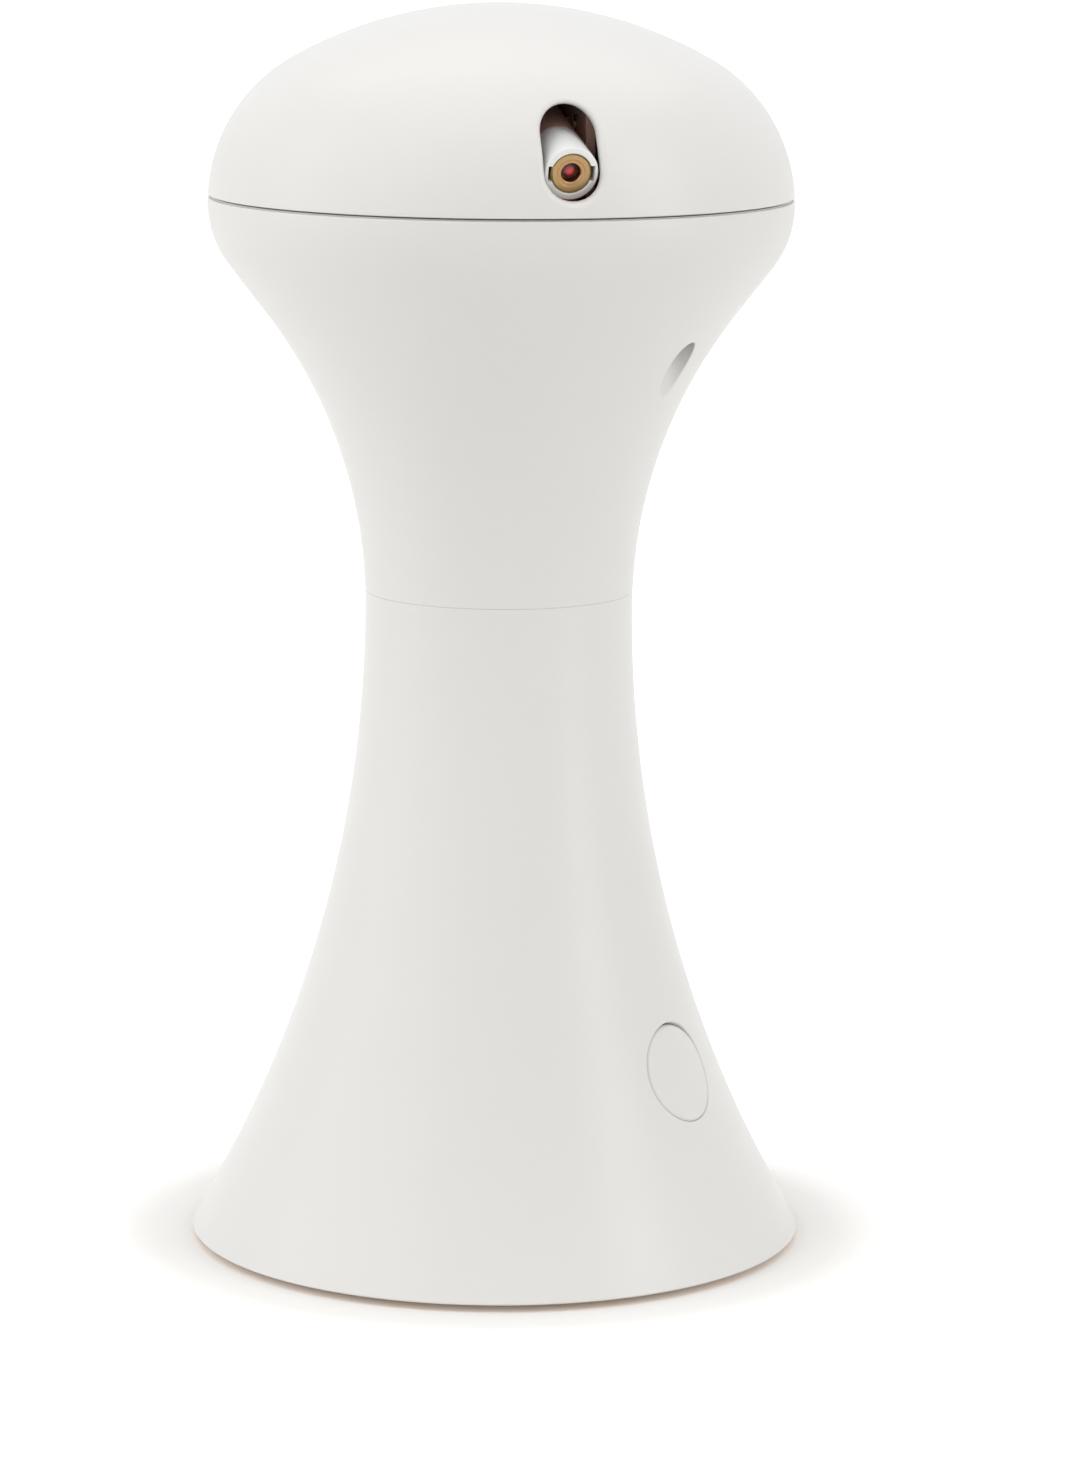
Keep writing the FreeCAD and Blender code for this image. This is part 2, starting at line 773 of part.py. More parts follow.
def battery_door():
    """The door under the cells: a plate with a round hinge edge, two hinge pins and a finger hollow."""
    plate = block("door_plate", ("2 * door_half_width", "door_half_length + hinge_line", "door_thickness"),
                  ("-door_half_width", "-door_half_length", "foot_height"))
    knuckle = cylinder("door_knuckle", "knuckle_radius", "2 * door_half_width",
                       ("-door_half_width", "hinge_line", "hinge_height"), "X")
    reach = "(door_half_width + hinge_pin_length)"
    pins = cylinder("door_pins", "hinge_pin_radius", f"2 * {reach}",
                    (f"-{reach}", "hinge_line", "hinge_height"), "X")
    hollow = cylinder("door_finger", "finger_radius", "finger_depth",
                      (0, "-door_half_length", "foot_height"))
    node(cut("battery_door", fuse("door_whole", plate, knuckle, pins), hollow), "battery_door")


# ---------------------------------------------------------------------------------------------- batteries

def cell_line(index):
    """The X of a cell's axis, numbered from -X; the cells stand cell_gap apart."""
    return f"({2 * index - 3} * (cell_radius + cell_gap / 2))"


def facing(index):
    """+1 where a cell's nub points to +Y, -1 where it points to -Y."""
    return 1 if index % 2 else -1


def batteries():
    """Four cells side by side, each turned the other way from its neighbour."""
    cells_made = []
    half = "(cell_length + nub_length) / 2"
    for index in range(4):
        way = facing(index)
        body_foot = f"-{half}" if way > 0 else f"-{half} + nub_length"
        nub_foot = f"{half} - nub_length" if way > 0 else f"-{half}"
        across = cell_line(index)
        barrel = cylinder(f"cell_{index}", "cell_radius", "cell_length",
                          (across, body_foot, "cell_height"), "Y")
        nub = cylinder(f"nub_{index}", "nub_radius", "nub_length", (across, nub_foot, "cell_height"), "Y")
        cells_made.append(fuse(f"battery_{index}", barrel, nub))
    node(group("batteries", *cells_made), "batteries")


def battery_contacts():
    """A sheet at each end of each cell: a leaning leaf at the flat end, a dimple at the nub's end."""
    contacts = []
    for index in range(4):
        across = cell_line(index)
        for way in (-1, 1):
            name = f"contact_{index}_{'front' if way < 0 else 'back'}"
            inner = "(bay_half_length - contact_sheet)"
            low = inner if way > 0 else "-bay_half_length"
            sheet_plate = block(name + "_sheet", ("contact_width", "contact_sheet", "contact_width"),
                                (f"{across} - contact_width / 2", low, "cell_height - contact_width / 2"))
            if way == facing(index):
                depth = "(contact_room - contact_sheet)"
                start = f"{inner} - {depth}" if way > 0 else f"-{inner}"
                touch = cylinder(name + "_dimple", "dimple_radius", depth,
                                 (across, start, "cell_height"), "Y")
            else:
                touch = block(name + "_leaf", ("spring_width", "contact_sheet", "spring_length"))
                foot = inner if way > 0 else f"-{inner} - contact_sheet"
                place(touch, (f"{across} - spring_width / 2", foot, "cell_height - contact_width / 2"))
                turn(touch, (way, 0, 0), "spring_lean")
            contacts.append(fuse(name, sheet_plate, touch))
    node(group("battery_contacts", *contacts), "battery_contacts")


# ---------------------------------------------------------------------------------------------- button group

def push_button(form):
    """The button: its face continues the stand's, with a hollow back, a retaining flange and a stem."""
    back = "flange_depth + flange_thickness"
    barrel = on_seat(cylinder("button_barrel", "button_radius", "2 * stem_depth"), back)
    cap = common("button_cap", form, barrel)
    hollow = on_seat(cylinder("button_hollow", "button_radius - button_wall", f"{back} - button_wall"), back)
    flange = on_seat(ring("button_flange", "button_radius - button_wall", "flange_radius",
                          "flange_thickness"), back)
    stem = on_seat(cylinder("button_stem", "stem_radius", "stem_depth - button_wall / 2"), "stem_depth")
    whole = fuse("button_whole", cut("button_skin", cap, hollow), flange, stem)
    node(whole, "push_button", side())


def on_button(item, label, depth):
    """Name a sub-part and stand it on the button's axis."""
    node(on_seat(item, depth), label, side())


def switch_group():
    """The tactile switch and its plunger, on the board behind the button."""
    half = "(switch_side / 2)"
    housing = block("switch_block", ("switch_side", "switch_side", "switch_height"),
                    (f"-{half}", f"-{half}", 0))
    reach = "(stem_depth + plunger_length + button_travel + air)"
    bore = cylinder("switch_bore", "plunger_radius + running", "switch_height",
                    (0, 0, f"switch_depth + switch_height - {reach}"))
    on_button(cut("switch_housing", housing, bore), "tact_switch", "switch_depth + switch_height")
    on_button(cylinder("plunger", "plunger_radius", "plunger_length"), "switch_plunger",
              "stem_depth + plunger_length")


def control_board():
    """The board on its two posts, with a timer chip and a capacitor on its inner face."""
    board_back = "(switch_depth + switch_height + board_thickness)"
    plate = block("board_plate", ("board_width", "board_height", "board_thickness"),
                  ("-board_width / 2", "-board_height / 2", 0))
    holes = []
    for index, way in enumerate((-1, 1)):
        holes.append(cylinder(f"board_hole_{index}", "small_screw_radius + play", "board_thickness",
                              (f"{way} * post_spacing / 2", 0, 0)))
    on_button(cut("board_drilled", plate, *holes), "control_board", board_back)
    on_button(block("chip_block", ("chip_length", "chip_width", "chip_height"),
                    ("-chip_offset - chip_length / 2", "-chip_width / 2", 0)), "timer_chip",
              f"{board_back} + chip_height")
    on_button(cylinder("capacitor_can", "capacitor_radius", "capacitor_length", ("capacitor_offset", 0, 0)),
              "filter_capacitor", f"{board_back} + capacitor_length")
    screws = []
    for index, way in enumerate((-1, 1)):
        across = f"{way} * post_spacing / 2"
        head_bar = cylinder(f"board_head_{index}", "small_head_radius", "small_head_height", (across, 0, 0))
        shank = cylinder(f"board_shank_{index}", "small_screw_radius",
                         "board_thickness + board_screw_length - play", (across, 0, "small_head_height"))
        screws.append(fuse(f"board_screw_{index}", head_bar, shank))
    on_button(group("board_screw_pair", *screws), "board_screws", f"{board_back} + small_head_height")


# ---------------------------------------------------------------------------------------------- funnel

def well_bars(name, radius, foot, length):
    """Two upright bars at the funnel's screw wells."""
    return [cylinder(f"{name}_{index}", radius, length, (0, f"{way} * well_ring", foot))
            for index, way in enumerate((-1, 1))]


def upper_shell():
    """The funnel: its wall, the spigot that enters the stand's neck and two wells for the long screws."""
    top = "(head_height + lip_rise)"
    form = funnel_form("funnel_form", "neck_seam", top)
    hollow = funnel_core("(neck_seam + spigot_wall)", top)
    bore = cylinder("funnel_bore", "spigot_seat - spigot_gap - spigot_wall",
                    "spigot_depth + 2 * spigot_wall", (0, 0, "neck_seam - spigot_depth"))
    spigot = cylinder("spigot", "spigot_seat - spigot_gap", "spigot_depth",
                      (0, 0, "neck_seam - spigot_depth"))
    wells = well_bars("well_tube", "well_radius + well_wall", "neck_seam", "well_top - neck_seam")
    tubes = common("well_tubes", form, fuse("well_pair", *wells))
    shafts = well_bars("well_shaft", "well_radius", "neck_seam", "well_floor - neck_seam")
    holes = well_bars("well_hole", "screw_radius + play", "neck_seam", "well_top - neck_seam")
    wall = cut("funnel_wall", form, hollow)
    whole = fuse("funnel_whole", wall, tubes, spigot)
    node(cut("upper_shell", whole, bore, *shafts, *holes), "upper_shell", side())


def deck_posts(name, radius, foot, length):
    """Three upright bars at the gearbox's posts."""
    spots = (("-gear_post_back", 0), ("gear_centres / 2", "gear_post_side"),
             ("gear_centres / 2", "-gear_post_side"))
    return [cylinder(f"{name}_{index}", radius, length, (x, y, foot)) for index, (x, y) in enumerate(spots)]


def top_plate():
    """The fixed deck in the funnel's mouth, with its bush hub, screw bosses and gearbox posts."""
    disc = cylinder("deck_disc", f"{lip_radius_at('deck_height')} - air", "deck_thickness",
                    (0, 0, "deck_height"))
    bosses = well_bars("deck_boss", "deck_boss_radius", "well_top", "deck_height - well_top")
    posts = deck_posts("deck_post", "gear_post_radius", "gearbox_top", "deck_height - gearbox_top")
    hub = cylinder("deck_hub", "hub_radius", "deck_height - bush_foot", (0, 0, "bush_foot"))
    axle_boss = cylinder("deck_axle_boss", "idler_hub_radius", "deck_thickness",
                         ("gear_centres", 0, "deck_height - deck_thickness"))
    bush_hole = cylinder("deck_bush_hole", "shaft_radius + bush_wall", "deck_top - bush_foot",
                         (0, 0, "bush_foot"))
    axle_hole = cylinder("deck_axle_hole", "axle_radius", "2 * deck_thickness",
                         ("gear_centres", 0, "deck_height - deck_thickness - play"))
    pilots = well_bars("deck_pilot", "screw_radius + play", "well_top", "deck_top - blind_floor - well_top")
    post_pilots = deck_posts("deck_post_pilot", "small_screw_radius + play", "gearbox_top",
                             "gear_screw_length")
    whole = fuse("deck_whole", disc, *bosses, *posts, hub, axle_boss)
    node(cut("top_plate", whole, bush_hole, axle_hole, *pilots, *post_pilots), "top_plate", side())


def shell_screws():
    """The two screws that hold the funnel to the deck, up through the wells."""
    shanks = well_bars("shell_shank", "screw_radius", "well_floor",
                       "deck_top - blind_floor - well_floor - play")
    heads = well_bars("shell_head", "screw_head_radius", "well_floor - screw_head_height",
                      "screw_head_height")
    screws = [fuse(f"shell_screw_{index}", *pair) for index, pair in enumerate(zip(shanks, heads))]
    node(group("shell_screws", *screws), "shell_screws", side())


def head_bush():
    """The flanged bush in the deck that the head's shaft turns in."""
    inner, outer = "shaft_radius + running", "shaft_radius + bush_wall"
    node(turned_body("bush", [(inner, "bush_foot"), (outer, "bush_foot"), (outer, "deck_top"),
                              ("bush_flange_radius", "deck_top"), ("bush_flange_radius", "washer_foot"),
                              (inner, "washer_foot")]), "head_bush")
    node(ring("washer", inner, "bush_flange_radius", "washer_height", (0, 0, "washer_foot")), "head_washer")


# ---------------------------------------------------------------------------------------------- gear train

def involute(angle):
    return math.tan(angle) - angle


def tooth_half_angle(teeth, radius):
    """Half of a tooth's angle at a radius, less its share of the backlash."""
    module, pressure = value("gear_module"), math.radians(value("pressure_angle"))
    pitch = module * teeth / 2
    base = pitch * math.cos(pressure)
    half = math.pi / (2 * teeth) - value("backlash") / (4 * pitch)
    return half + involute(pressure) - involute(math.acos(min(1, base / radius)))


def gear_face(teeth):
    """A gear's face on the XY plane: a tooth is centred on +X, each flank has four points of the involute."""
    module = value("gear_module")
    pitch = module * teeth / 2
    tip, root = pitch + module * value("addendum"), pitch - module * value("dedendum")
    base = max(root, pitch * math.cos(math.radians(value("pressure_angle"))))
    flank = [root] + [base + (tip - base) * step / 3 for step in range(4)] if base > root else \
        [root + (tip - root) * step / 3 for step in range(4)]
    points = []
    for tooth in range(teeth):
        middle = 2 * math.pi * tooth / teeth
        rising = [(radius, middle - tooth_half_angle(teeth, max(radius, base))) for radius in flank]
        falling = [(radius, 2 * middle - angle) for radius, angle in reversed(rising)]
        points += [Vector(radius * math.cos(angle), radius * math.sin(angle), 0)
                   for radius, angle in rising + falling]
    return Part.Face(Part.makePolygon(points + points[:1]))


def gear(name, teeth, foot, height, phase=0):
    """A spur gear from a height up, turned by a phase in degrees."""
    item = solid_of(name, gear_face(int(value(teeth))).extrude(Vector(0, 0, value(height))))
    item.Placement = Placement(Vector(0, 0, value(foot)), Rotation(Vector(0, 0, 1), phase))
    return item


def gearbox_base():
    """The rounded plate under the gears, hung from the deck's posts and carrying the motor."""
    back, reach, half = "gear_post_back", "(gear_centres / 2)", "gear_post_side"
    body = body_named("gearbox_plate")
    outline = Outline(body, "gearbox_outline", "XY_Plane")
    margin = value("gearbox_margin")
    spots = [(-value(back), 0), (value(reach), -value(half)), (value(reach), value(half))]
    names = [(f"-{back}", "0"), (reach, f"-{half}"), (reach, half)]
    normals = []
    for one, two in zip(spots, spots[1:] + spots[:1]):
        run = math.hypot(two[0] - one[0], two[1] - one[1])
        normals.append(((two[1] - one[1]) / run, -(two[0] - one[0]) / run))
    made = []
    for index, spot in enumerate(spots):
        before, after = normals[index - 1], normals[index]
        first, last = math.atan2(before[1], before[0]), math.atan2(after[1], after[0])
        last += 2 * math.pi if last < first else 0
        following = spots[(index + 1) % 3]
        made.append(outline.arc(spot, margin, first, last))
        made.append(outline.line([c + margin * n for c, n in zip(spot, after)],
                                 [c + margin * n for c, n in zip(following, after)]))
    outline.join(tangents=made)
    for arc, spot in zip(made[::2], names):
        outline.fix(arc, 3, *spot)
        outline.radius(arc, "gearbox_margin")
    pad(body, outline, "gearbox_thickness")
    plate = place(body, (0, 0, "gearbox_height"))
    nose = cylinder("gearbox_nose_hole", "motor_nose_radius + play", "gearbox_thickness",
                    (0, 0, "gearbox_height"))
    axle = cylinder("gearbox_axle_hole", "axle_radius", "gearbox_thickness",
                    ("gear_centres", 0, "gearbox_height"))
    screws = deck_posts("gearbox_hole", "small_screw_radius + play", "gearbox_height", "gearbox_thickness")
    motor_holes = motor_bars("gearbox_motor_hole", "small_screw_radius + play", "gearbox_height",
                             "gearbox_thickness")
    node(cut("gearbox_base", plate, nose, axle, *screws, *motor_holes), "gearbox_base", side())


def gearbox_screws():
    heads = deck_posts("gearbox_head", "small_head_radius", "gearbox_height - small_head_height",
                       "small_head_height")
    shanks = deck_posts("gearbox_shank", "small_screw_radius", "gearbox_height",
                        "gearbox_thickness + gear_screw_length - play")
    screws = [fuse(f"gearbox_screw_{index}", *pair) for index, pair in enumerate(zip(heads, shanks))]
    node(group("gearbox_screws", *screws), "gearbox_screws", side())


def motor_bars(name, radius, foot, length):
    """Two upright bars at the motor's screws."""
    return [cylinder(f"{name}_{index}", radius, length, (0, f"{way} * motor_screw_ring", foot))
            for index, way in enumerate((-1, 1))]


def motor():
    """The motor under the gearbox plate: a can with two flats, its nose and the moulded end cap."""
    foot = "(gearbox_height - motor_length)"
    flats = block("motor_flats", ("2 * motor_flat", "2 * motor_radius", "motor_length + motor_cap_height"),
                  ("-motor_flat", "-motor_radius", f"{foot} - motor_cap_height"))
    can = common("motor_can", flats, cylinder("motor_barrel", "motor_radius", "motor_length", (0, 0, foot)))
    nose = cylinder("motor_nose", "motor_nose_radius", "motor_nose_height", (0, 0, "gearbox_height"))
    bore = cylinder("motor_bore", "motor_shaft_radius + running", "motor_shaft_depth + motor_nose_height",
                    (0, 0, "gearbox_height - motor_shaft_depth"))
    threads = motor_bars("motor_thread", "small_screw_radius + play", "gearbox_height - motor_screw_depth",
                         "motor_screw_depth")
    node(cut("motor_housing", fuse("motor_whole", can, nose), bore, *threads), "motor", side())
    flats = block("motor_cap_flats", ("2 * motor_flat - 2 * play", "2 * motor_radius", "motor_cap_height"),
                  ("-motor_flat + play", "-motor_radius", f"{foot} - motor_cap_height"))
    cap = common("motor_cap_solid", flats,
                 cylinder("motor_cap_barrel", "motor_radius - play", "motor_cap_height",
                          (0, 0, f"{foot} - motor_cap_height")))
    node(cap, "motor_end_cap", side())
    heads = motor_bars("motor_head", "small_head_radius", "gearbox_top", "small_head_height")
    shanks = motor_bars("motor_screw_shank", "small_screw_radius",
                        "gearbox_height - motor_screw_depth + play",
                        "motor_screw_depth - play + gearbox_thickness")
    screws = [fuse(f"motor_screw_{index}", *pair) for index, pair in enumerate(zip(heads, shanks))]
    node(group("motor_screws", *screws), "motor_screws", side())


def motor_pinion():
    """The motor's shaft and the pinion on it, with a tooth towards the idler."""
    top = "(motor_pinion_foot + pinion_height)"
    shaft = cylinder("motor_shaft_bar", "motor_shaft_radius",
                     f"{top} - gearbox_height + motor_shaft_depth - air",
                     (0, 0, "gearbox_height - motor_shaft_depth + air"))
    node(shaft, "motor_shaft", side())
    teeth = gear("pinion_teeth_ring", "pinion_teeth", "motor_pinion_foot", "pinion_height")
    bore = cylinder("pinion_bore", "motor_shaft_radius", "pinion_height", (0, 0, "motor_pinion_foot"))
    node(cut("pinion_bored", teeth, bore), "motor_pinion", side())


def compound_gear():
    """The idler: a wheel driven by the motor's pinion, a pinion that drives the output gear, and its hub."""
    wheel = gear("idler_wheel", "wheel_teeth", "idler_wheel_foot", "wheel_height",
                 180 + 180 / value("wheel_teeth"))
    pinion = gear("idler_pinion", "pinion_teeth", "idler_pinion_foot", "pinion_height", 180)
    foot = "(gearbox_top + running)"
    hub = cylinder("idler_hub", "idler_hub_radius", f"deck_height - deck_thickness - running - {foot}",
                   (0, 0, foot))
    bore = cylinder("idler_bore", "axle_radius + running", "deck_height - gearbox_height",
                    (0, 0, "gearbox_height"))
    whole = cut("idler_bored", fuse("idler_whole", wheel, pinion, hub), bore)
    train = side().multiply(Placement(Vector(value("gear_centres"), 0, 0), Rotation()))
    node(whole, "compound_gear", train)
    axle = cylinder("axle", "axle_radius - play", "deck_height - gearbox_height", (0, 0, "gearbox_height"))
    node(axle, "idler_axle", train)


def output_drive():
    """The head's shaft, the gear that turns it and the clip that holds the gear up."""
    wheel = gear("output_wheel", "wheel_teeth", "output_foot", "wheel_height", 180 / value("wheel_teeth"))
    hub = cylinder("output_hub", "output_hub_radius", "bush_foot - output_foot - air",
                   (0, 0, "output_foot"))
    bore = cylinder("output_bore", "shaft_radius", "bush_foot - output_foot", (0, 0, "output_foot"))
    node(cut("output_bored", fuse("output_whole", wheel, hub), bore), "output_gear", side())
    foot = "(output_foot - clip_height - play)"
    top = "(chassis_top + chassis_hub_height)"
    node(cylinder("shaft_bar", "shaft_radius", f"{top} - {foot}", (0, 0, foot)), "head_shaft")
    node(ring("clip", "shaft_radius", "clip_radius", "clip_height", (0, 0, foot)), "shaft_clip")


# ---------------------------------------------------------------------------------------------- head

def dome_screw_bars(name, radius, foot, length):
    """Two upright bars beside the lasers, where the dome is screwed down."""
    return [cylinder(f"{name}_{index}", radius, length, (f"{way} * dome_screw_ring", 0, foot))
            for index, way in enumerate((-1, 1))]


def head_dome():
    """The dome: its wall, two inner screw bosses, and the laser slots cut through front and back."""
    form = dome_form("dome_form")
    wall = cut("dome_wall", form, dome_core())
    bosses = common("dome_bosses", form,
                    fuse("dome_boss_pair", *dome_screw_bars("dome_boss", "dome_boss_radius", "chassis_top",
                                                            "top_height - chassis_top")))
    pilots = dome_screw_bars("dome_pilot", "screw_radius + play", "chassis_top", "dome_screw_length")
    node(cut("dome_cut", fuse("dome_whole", wall, bosses), slot_cutter(), *pilots), "head_dome", head())


def slot_cutter():
    """A round-ended bar right through the head, as wide and tall as the laser slots at front and back."""
    body = body_named("slot_bar")
    outline = Outline(body, "slot_outline")
    half = "(slot_width / 2)"
    low, high = f"slot_foot + {half}", f"slot_head - {half}"
    width = value(half)
    right = outline.line((width, value(low)), (width, value(high)))
    crest = outline.arc((0, value(high)), width, 0, math.pi)
    left = outline.line((-width, value(high)), (-width, value(low)))
    trough = outline.arc((0, value(low)), width, math.pi, 2 * math.pi)
    outline.join(tangents=(right, crest, left, trough))
    outline.fix(crest, 3, "0", high)
    outline.fix(trough, 3, "0", low)
    outline.radius(crest, half)
    pad(body, outline, "4 * head_radius", midplane=True)
    return body


def head_chassis():
    """The dark turning deck under the dome: a disc, a rim inside the dome's edge and a hub on the shaft."""
    disc_edge = "head_radius - wall - chassis_gap"
    rim_edge = f"{dome_radius_at('rim_top')} - rim_gap"
    hub_foot = "washer_foot + washer_height + running"
    body = turned_body("chassis_deck", [
        ("shaft_radius", hub_foot), ("hub_radius", hub_foot), ("hub_radius", "chassis_height"),
        (disc_edge, "chassis_height"), (disc_edge, "chassis_top"), (rim_edge, "chassis_top"),
        (rim_edge, "rim_top"), (f"{rim_edge} - rim_width", "rim_top"),
        (f"{rim_edge} - rim_width", "chassis_top"), ("hub_radius", "chassis_top"),
        ("hub_radius", "chassis_top + chassis_hub_height"),
        ("shaft_radius", "chassis_top + chassis_hub_height")])
    screw_holes = dome_screw_bars("chassis_hole", "screw_radius + play", "chassis_height",
                                  "chassis_thickness")
    tab_holes = []
    for way in (-1, 1):
        tab_holes += tab_bars(f"chassis_tab_{'front' if way < 0 else 'rear'}", "small_screw_radius + play",
                              "chassis_height", "chassis_thickness", way)
    node(cut("chassis_drilled", body, *screw_holes, *tab_holes), "head_chassis", head())


def dome_screws():
    heads = dome_screw_bars("dome_head", "screw_head_radius", "chassis_height - screw_head_height",
                            "screw_head_height")
    shanks = dome_screw_bars("dome_shank", "screw_radius", "chassis_height",
                             "chassis_thickness + dome_screw_length - play")
    screws = [fuse(f"dome_screw_{index}", *pair) for index, pair in enumerate(zip(heads, shanks))]
    node(group("dome_screws", *screws), "dome_screws", head())


def tab_bars(name, radius, foot, length, way):
    """Two upright bars at a laser bracket's screw tabs."""
    reach = "(cheek_inner + cheek_wall + bracket_tab / 2)"
    return [cylinder(f"{name}_{index}", radius, length, (f"{hand} * {reach}", f"{way} * pivot_ring", foot))
            for index, hand in enumerate((-1, 1))]


def slip_ring():
    """The slip ring under the turning deck, and the brushes that feed it from the fixed deck."""
    board_foot = "(chassis_height - ring_board_thickness)"
    board = ring("ring_board", "ring_board_inner", "ring_board_outer", "ring_board_thickness",
                 (0, 0, board_foot))
    node(board, "slip_ring_board", head())
    tracks = []
    for index in range(2):
        inner = f"(track_inner + {index} * track_pitch)"
        tracks.append(ring(f"track_{index}", inner, f"{inner} + track_width", "track_thickness",
                           (0, 0, f"{board_foot} - track_thickness")))
    node(group("tracks", *tracks), "slip_ring_tracks", head())
    half = "(brush_block_width / 2)"
    node(block("brush_holder_block", ("track_edge - bush_flange_radius - air", "brush_block_width",
                                      "brush_block_height"), ("-track_edge", f"-{half}", "deck_top")),
         "brush_block", side())
    rise = f"({board_foot} - track_thickness - brush_gap - deck_top - brush_block_height)"
    brushes = []
    for index in range(2):
        middle = f"(track_inner + track_width / 2 + {index} * track_pitch)"
        foot = (f"-{middle} - brush_width / 2", f"-{half}", "deck_top + brush_block_height")
        leaf = block(f"brush_leaf_{index}", ("brush_width", "brush_block_width", "brush_sheet"), foot)
        tip = block(f"brush_tip_{index}", ("brush_width", "brush_width", rise), foot)
        brushes.append(fuse(f"brush_{index}", leaf, tip))
    node(group("brushes", *brushes), "contact_brushes", side())


# ---------------------------------------------------------------------------------------------- lasers

def laser_bracket(label, facing_angle):
    """A dark U bracket: a floor with two screw tabs, two cheeks that hold the trunnions and a back wall."""
    floor_top = "(chassis_top + bracket_floor)"
    half = "(cheek_inner + cheek_wall)"
    front, back = "(-pivot_ring - cheek_front)", "(-pivot_ring + bracket_back)"
    cheek_top = "(pivot_height + cheek_rise)"
    floor = block(label + "_floor", (f"2 * {half}", f"{back} - {front}", "bracket_floor"),
                  (f"-{half}", front, "chassis_top"))
    tabs = block(label + "_tabs", (f"2 * ({half} + bracket_tab)", "bracket_tab", "bracket_floor"),
                 (f"-{half} - bracket_tab", "-pivot_ring - bracket_tab / 2", "chassis_top"))
    shell = block(label + "_cheeks", (f"2 * {half}", f"{back} - {front}", f"{cheek_top} - {floor_top}"),
                  (f"-{half}", front, floor_top))
    room = block(label + "_room", ("2 * cheek_inner", f"{back} - {front} - cheek_wall",
                                   f"{cheek_top} - {floor_top}"), ("-cheek_inner", front, floor_top))
    pins = cylinder(label + "_pins", "trunnion_radius + running", f"2 * {half}",
                    (f"-{half}", "-pivot_ring", "pivot_height"), "X")
    holes = tab_bars(label + "_tab_hole", "small_screw_radius + play", "chassis_top", "bracket_floor", -1)
    whole = cut(label, fuse(label + "_whole", floor, tabs, shell), room, pins, *holes)
    node(whole, label, head().multiply(about_z(facing_angle)))


def laser_place(facing_angle):
    """The pivot of a laser, tipped down to its rest, with the beam along its own -Y."""
    pivot = Placement(Vector(0, -value("pivot_ring"), value("pivot_height")),
                      Rotation(Vector(1, 0, 0), value("rest_tilt")))
    return head().multiply(about_z(facing_angle)).multiply(pivot)


def laser(suffix, facing_angle):
    """A tilting laser: a dark cradle on trunnions, a white tube before it, the brass module and its lens."""
    seat = laser_place(facing_angle)
    front = "(-tube_reach + module_inset)"
    joint = "(-tube_reach + tube_length)"
    bore = cylinder("laser_bore_" + suffix, "module_radius + play", "tube_reach + tube_back",
                    (0, "-tube_reach", 0), "Y")
    barrel = cylinder("tube_barrel_" + suffix, "tube_radius", "tube_length", (0, "-tube_reach", 0), "Y")
    slits = block("tube_slits_" + suffix, ("2 * (module_radius + slit_bite)", "slit_depth", "slit_width"),
                  ("-module_radius - slit_bite", "-tube_reach", "-slit_width / 2"))
    node(cut("tube_" + suffix, barrel, bore, slits), "laser_tube_" + suffix, seat)
    clamp = cylinder("cradle_barrel_" + suffix, "tube_radius", f"tube_back - {joint}", (0, joint, 0), "Y")
    reach = "(cheek_inner + cheek_wall)"
    pins = cylinder("cradle_pins_" + suffix, "trunnion_radius", f"2 * {reach}", (f"-{reach}", 0, 0), "X")
    node(cut("cradle_" + suffix, fuse("cradle_whole_" + suffix, clamp, pins), bore),
         "laser_cradle_" + suffix, seat)
    body = cylinder("module_body_" + suffix, "module_radius", "module_length", (0, front, 0), "Y")
    mouth = cylinder("module_mouth_" + suffix, "aperture_radius + play", "aperture_depth",
                     (0, front, 0), "Y")
    node(cut("module_" + suffix, body, mouth), "laser_module_" + suffix, seat)
    lens = cylinder("lens_" + suffix, "aperture_radius", "lens_thickness",
                    (0, f"{front} + lens_inset", 0), "Y")
    node(lens, "laser_lens_" + suffix, seat)


def bracket_screws():
    """The four screws that hold both brackets to the turning deck."""
    screws = []
    for way in (-1, 1):
        name = "front" if way < 0 else "rear"
        foot = "(chassis_top + bracket_floor)"
        heads = tab_bars(f"tab_head_{name}", "small_head_radius", foot, "small_head_height", way)
        shanks = tab_bars(f"tab_shank_{name}", "small_screw_radius", "chassis_height + play",
                          f"{foot} - chassis_height - play", way)
        screws += [fuse(f"tab_screw_{name}_{index}", *pair)
                   for index, pair in enumerate(zip(heads, shanks))]
    node(group("tab_screws", *screws), "bracket_screws", head())


# ---------------------------------------------------------------------------------------------- all together

def build():
    column = column_form("column_form")
    base_shell(column)
    push_button(column)
    switch_group()
    control_board()
    bottom_plate()
    bottom_screws()
    rubber_feet()
    battery_door()
    batteries()
    battery_contacts()
    upper_shell()
    top_plate()
    shell_screws()
    head_bush()
    gearbox_base()
    gearbox_screws()
    motor()
    motor_pinion()
    compound_gear()
    output_drive()
    head_dome()
    head_chassis()
    dome_screws()
    slip_ring()
    for suffix, facing_angle in (("front", "0"), ("rear", "180")):
        laser_bracket("laser_bracket_" + suffix, facing_angle)
        laser(suffix, facing_angle)
    bracket_screws()
    doc.recompute()


def write():
    """Check every object and every sub-part, then write each sub-part to its own file."""
    for item in doc.Objects:
        if "Invalid" in item.State or "Error" in item.State:
            raise RuntimeError(f"{item.Name} is {item.State}")
    for item in nodes:
        if item.Shape.isNull() or not item.Shape.isValid() or not item.Shape.Solids:
            raise RuntimeError(f"{item.Label} has no valid solid")
    os.makedirs("parts", exist_ok=True)
    for item in nodes:
        item.Shape.exportStep(f"parts/{item.Label}.step")
        print(f"{item.Label}: {len(item.Shape.Solids)} solid(s), {item.Shape.Volume:.1f} mm3")


build()
write()
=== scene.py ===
import json
import math

import bmesh
import bpy
from mathutils import Matrix, Vector


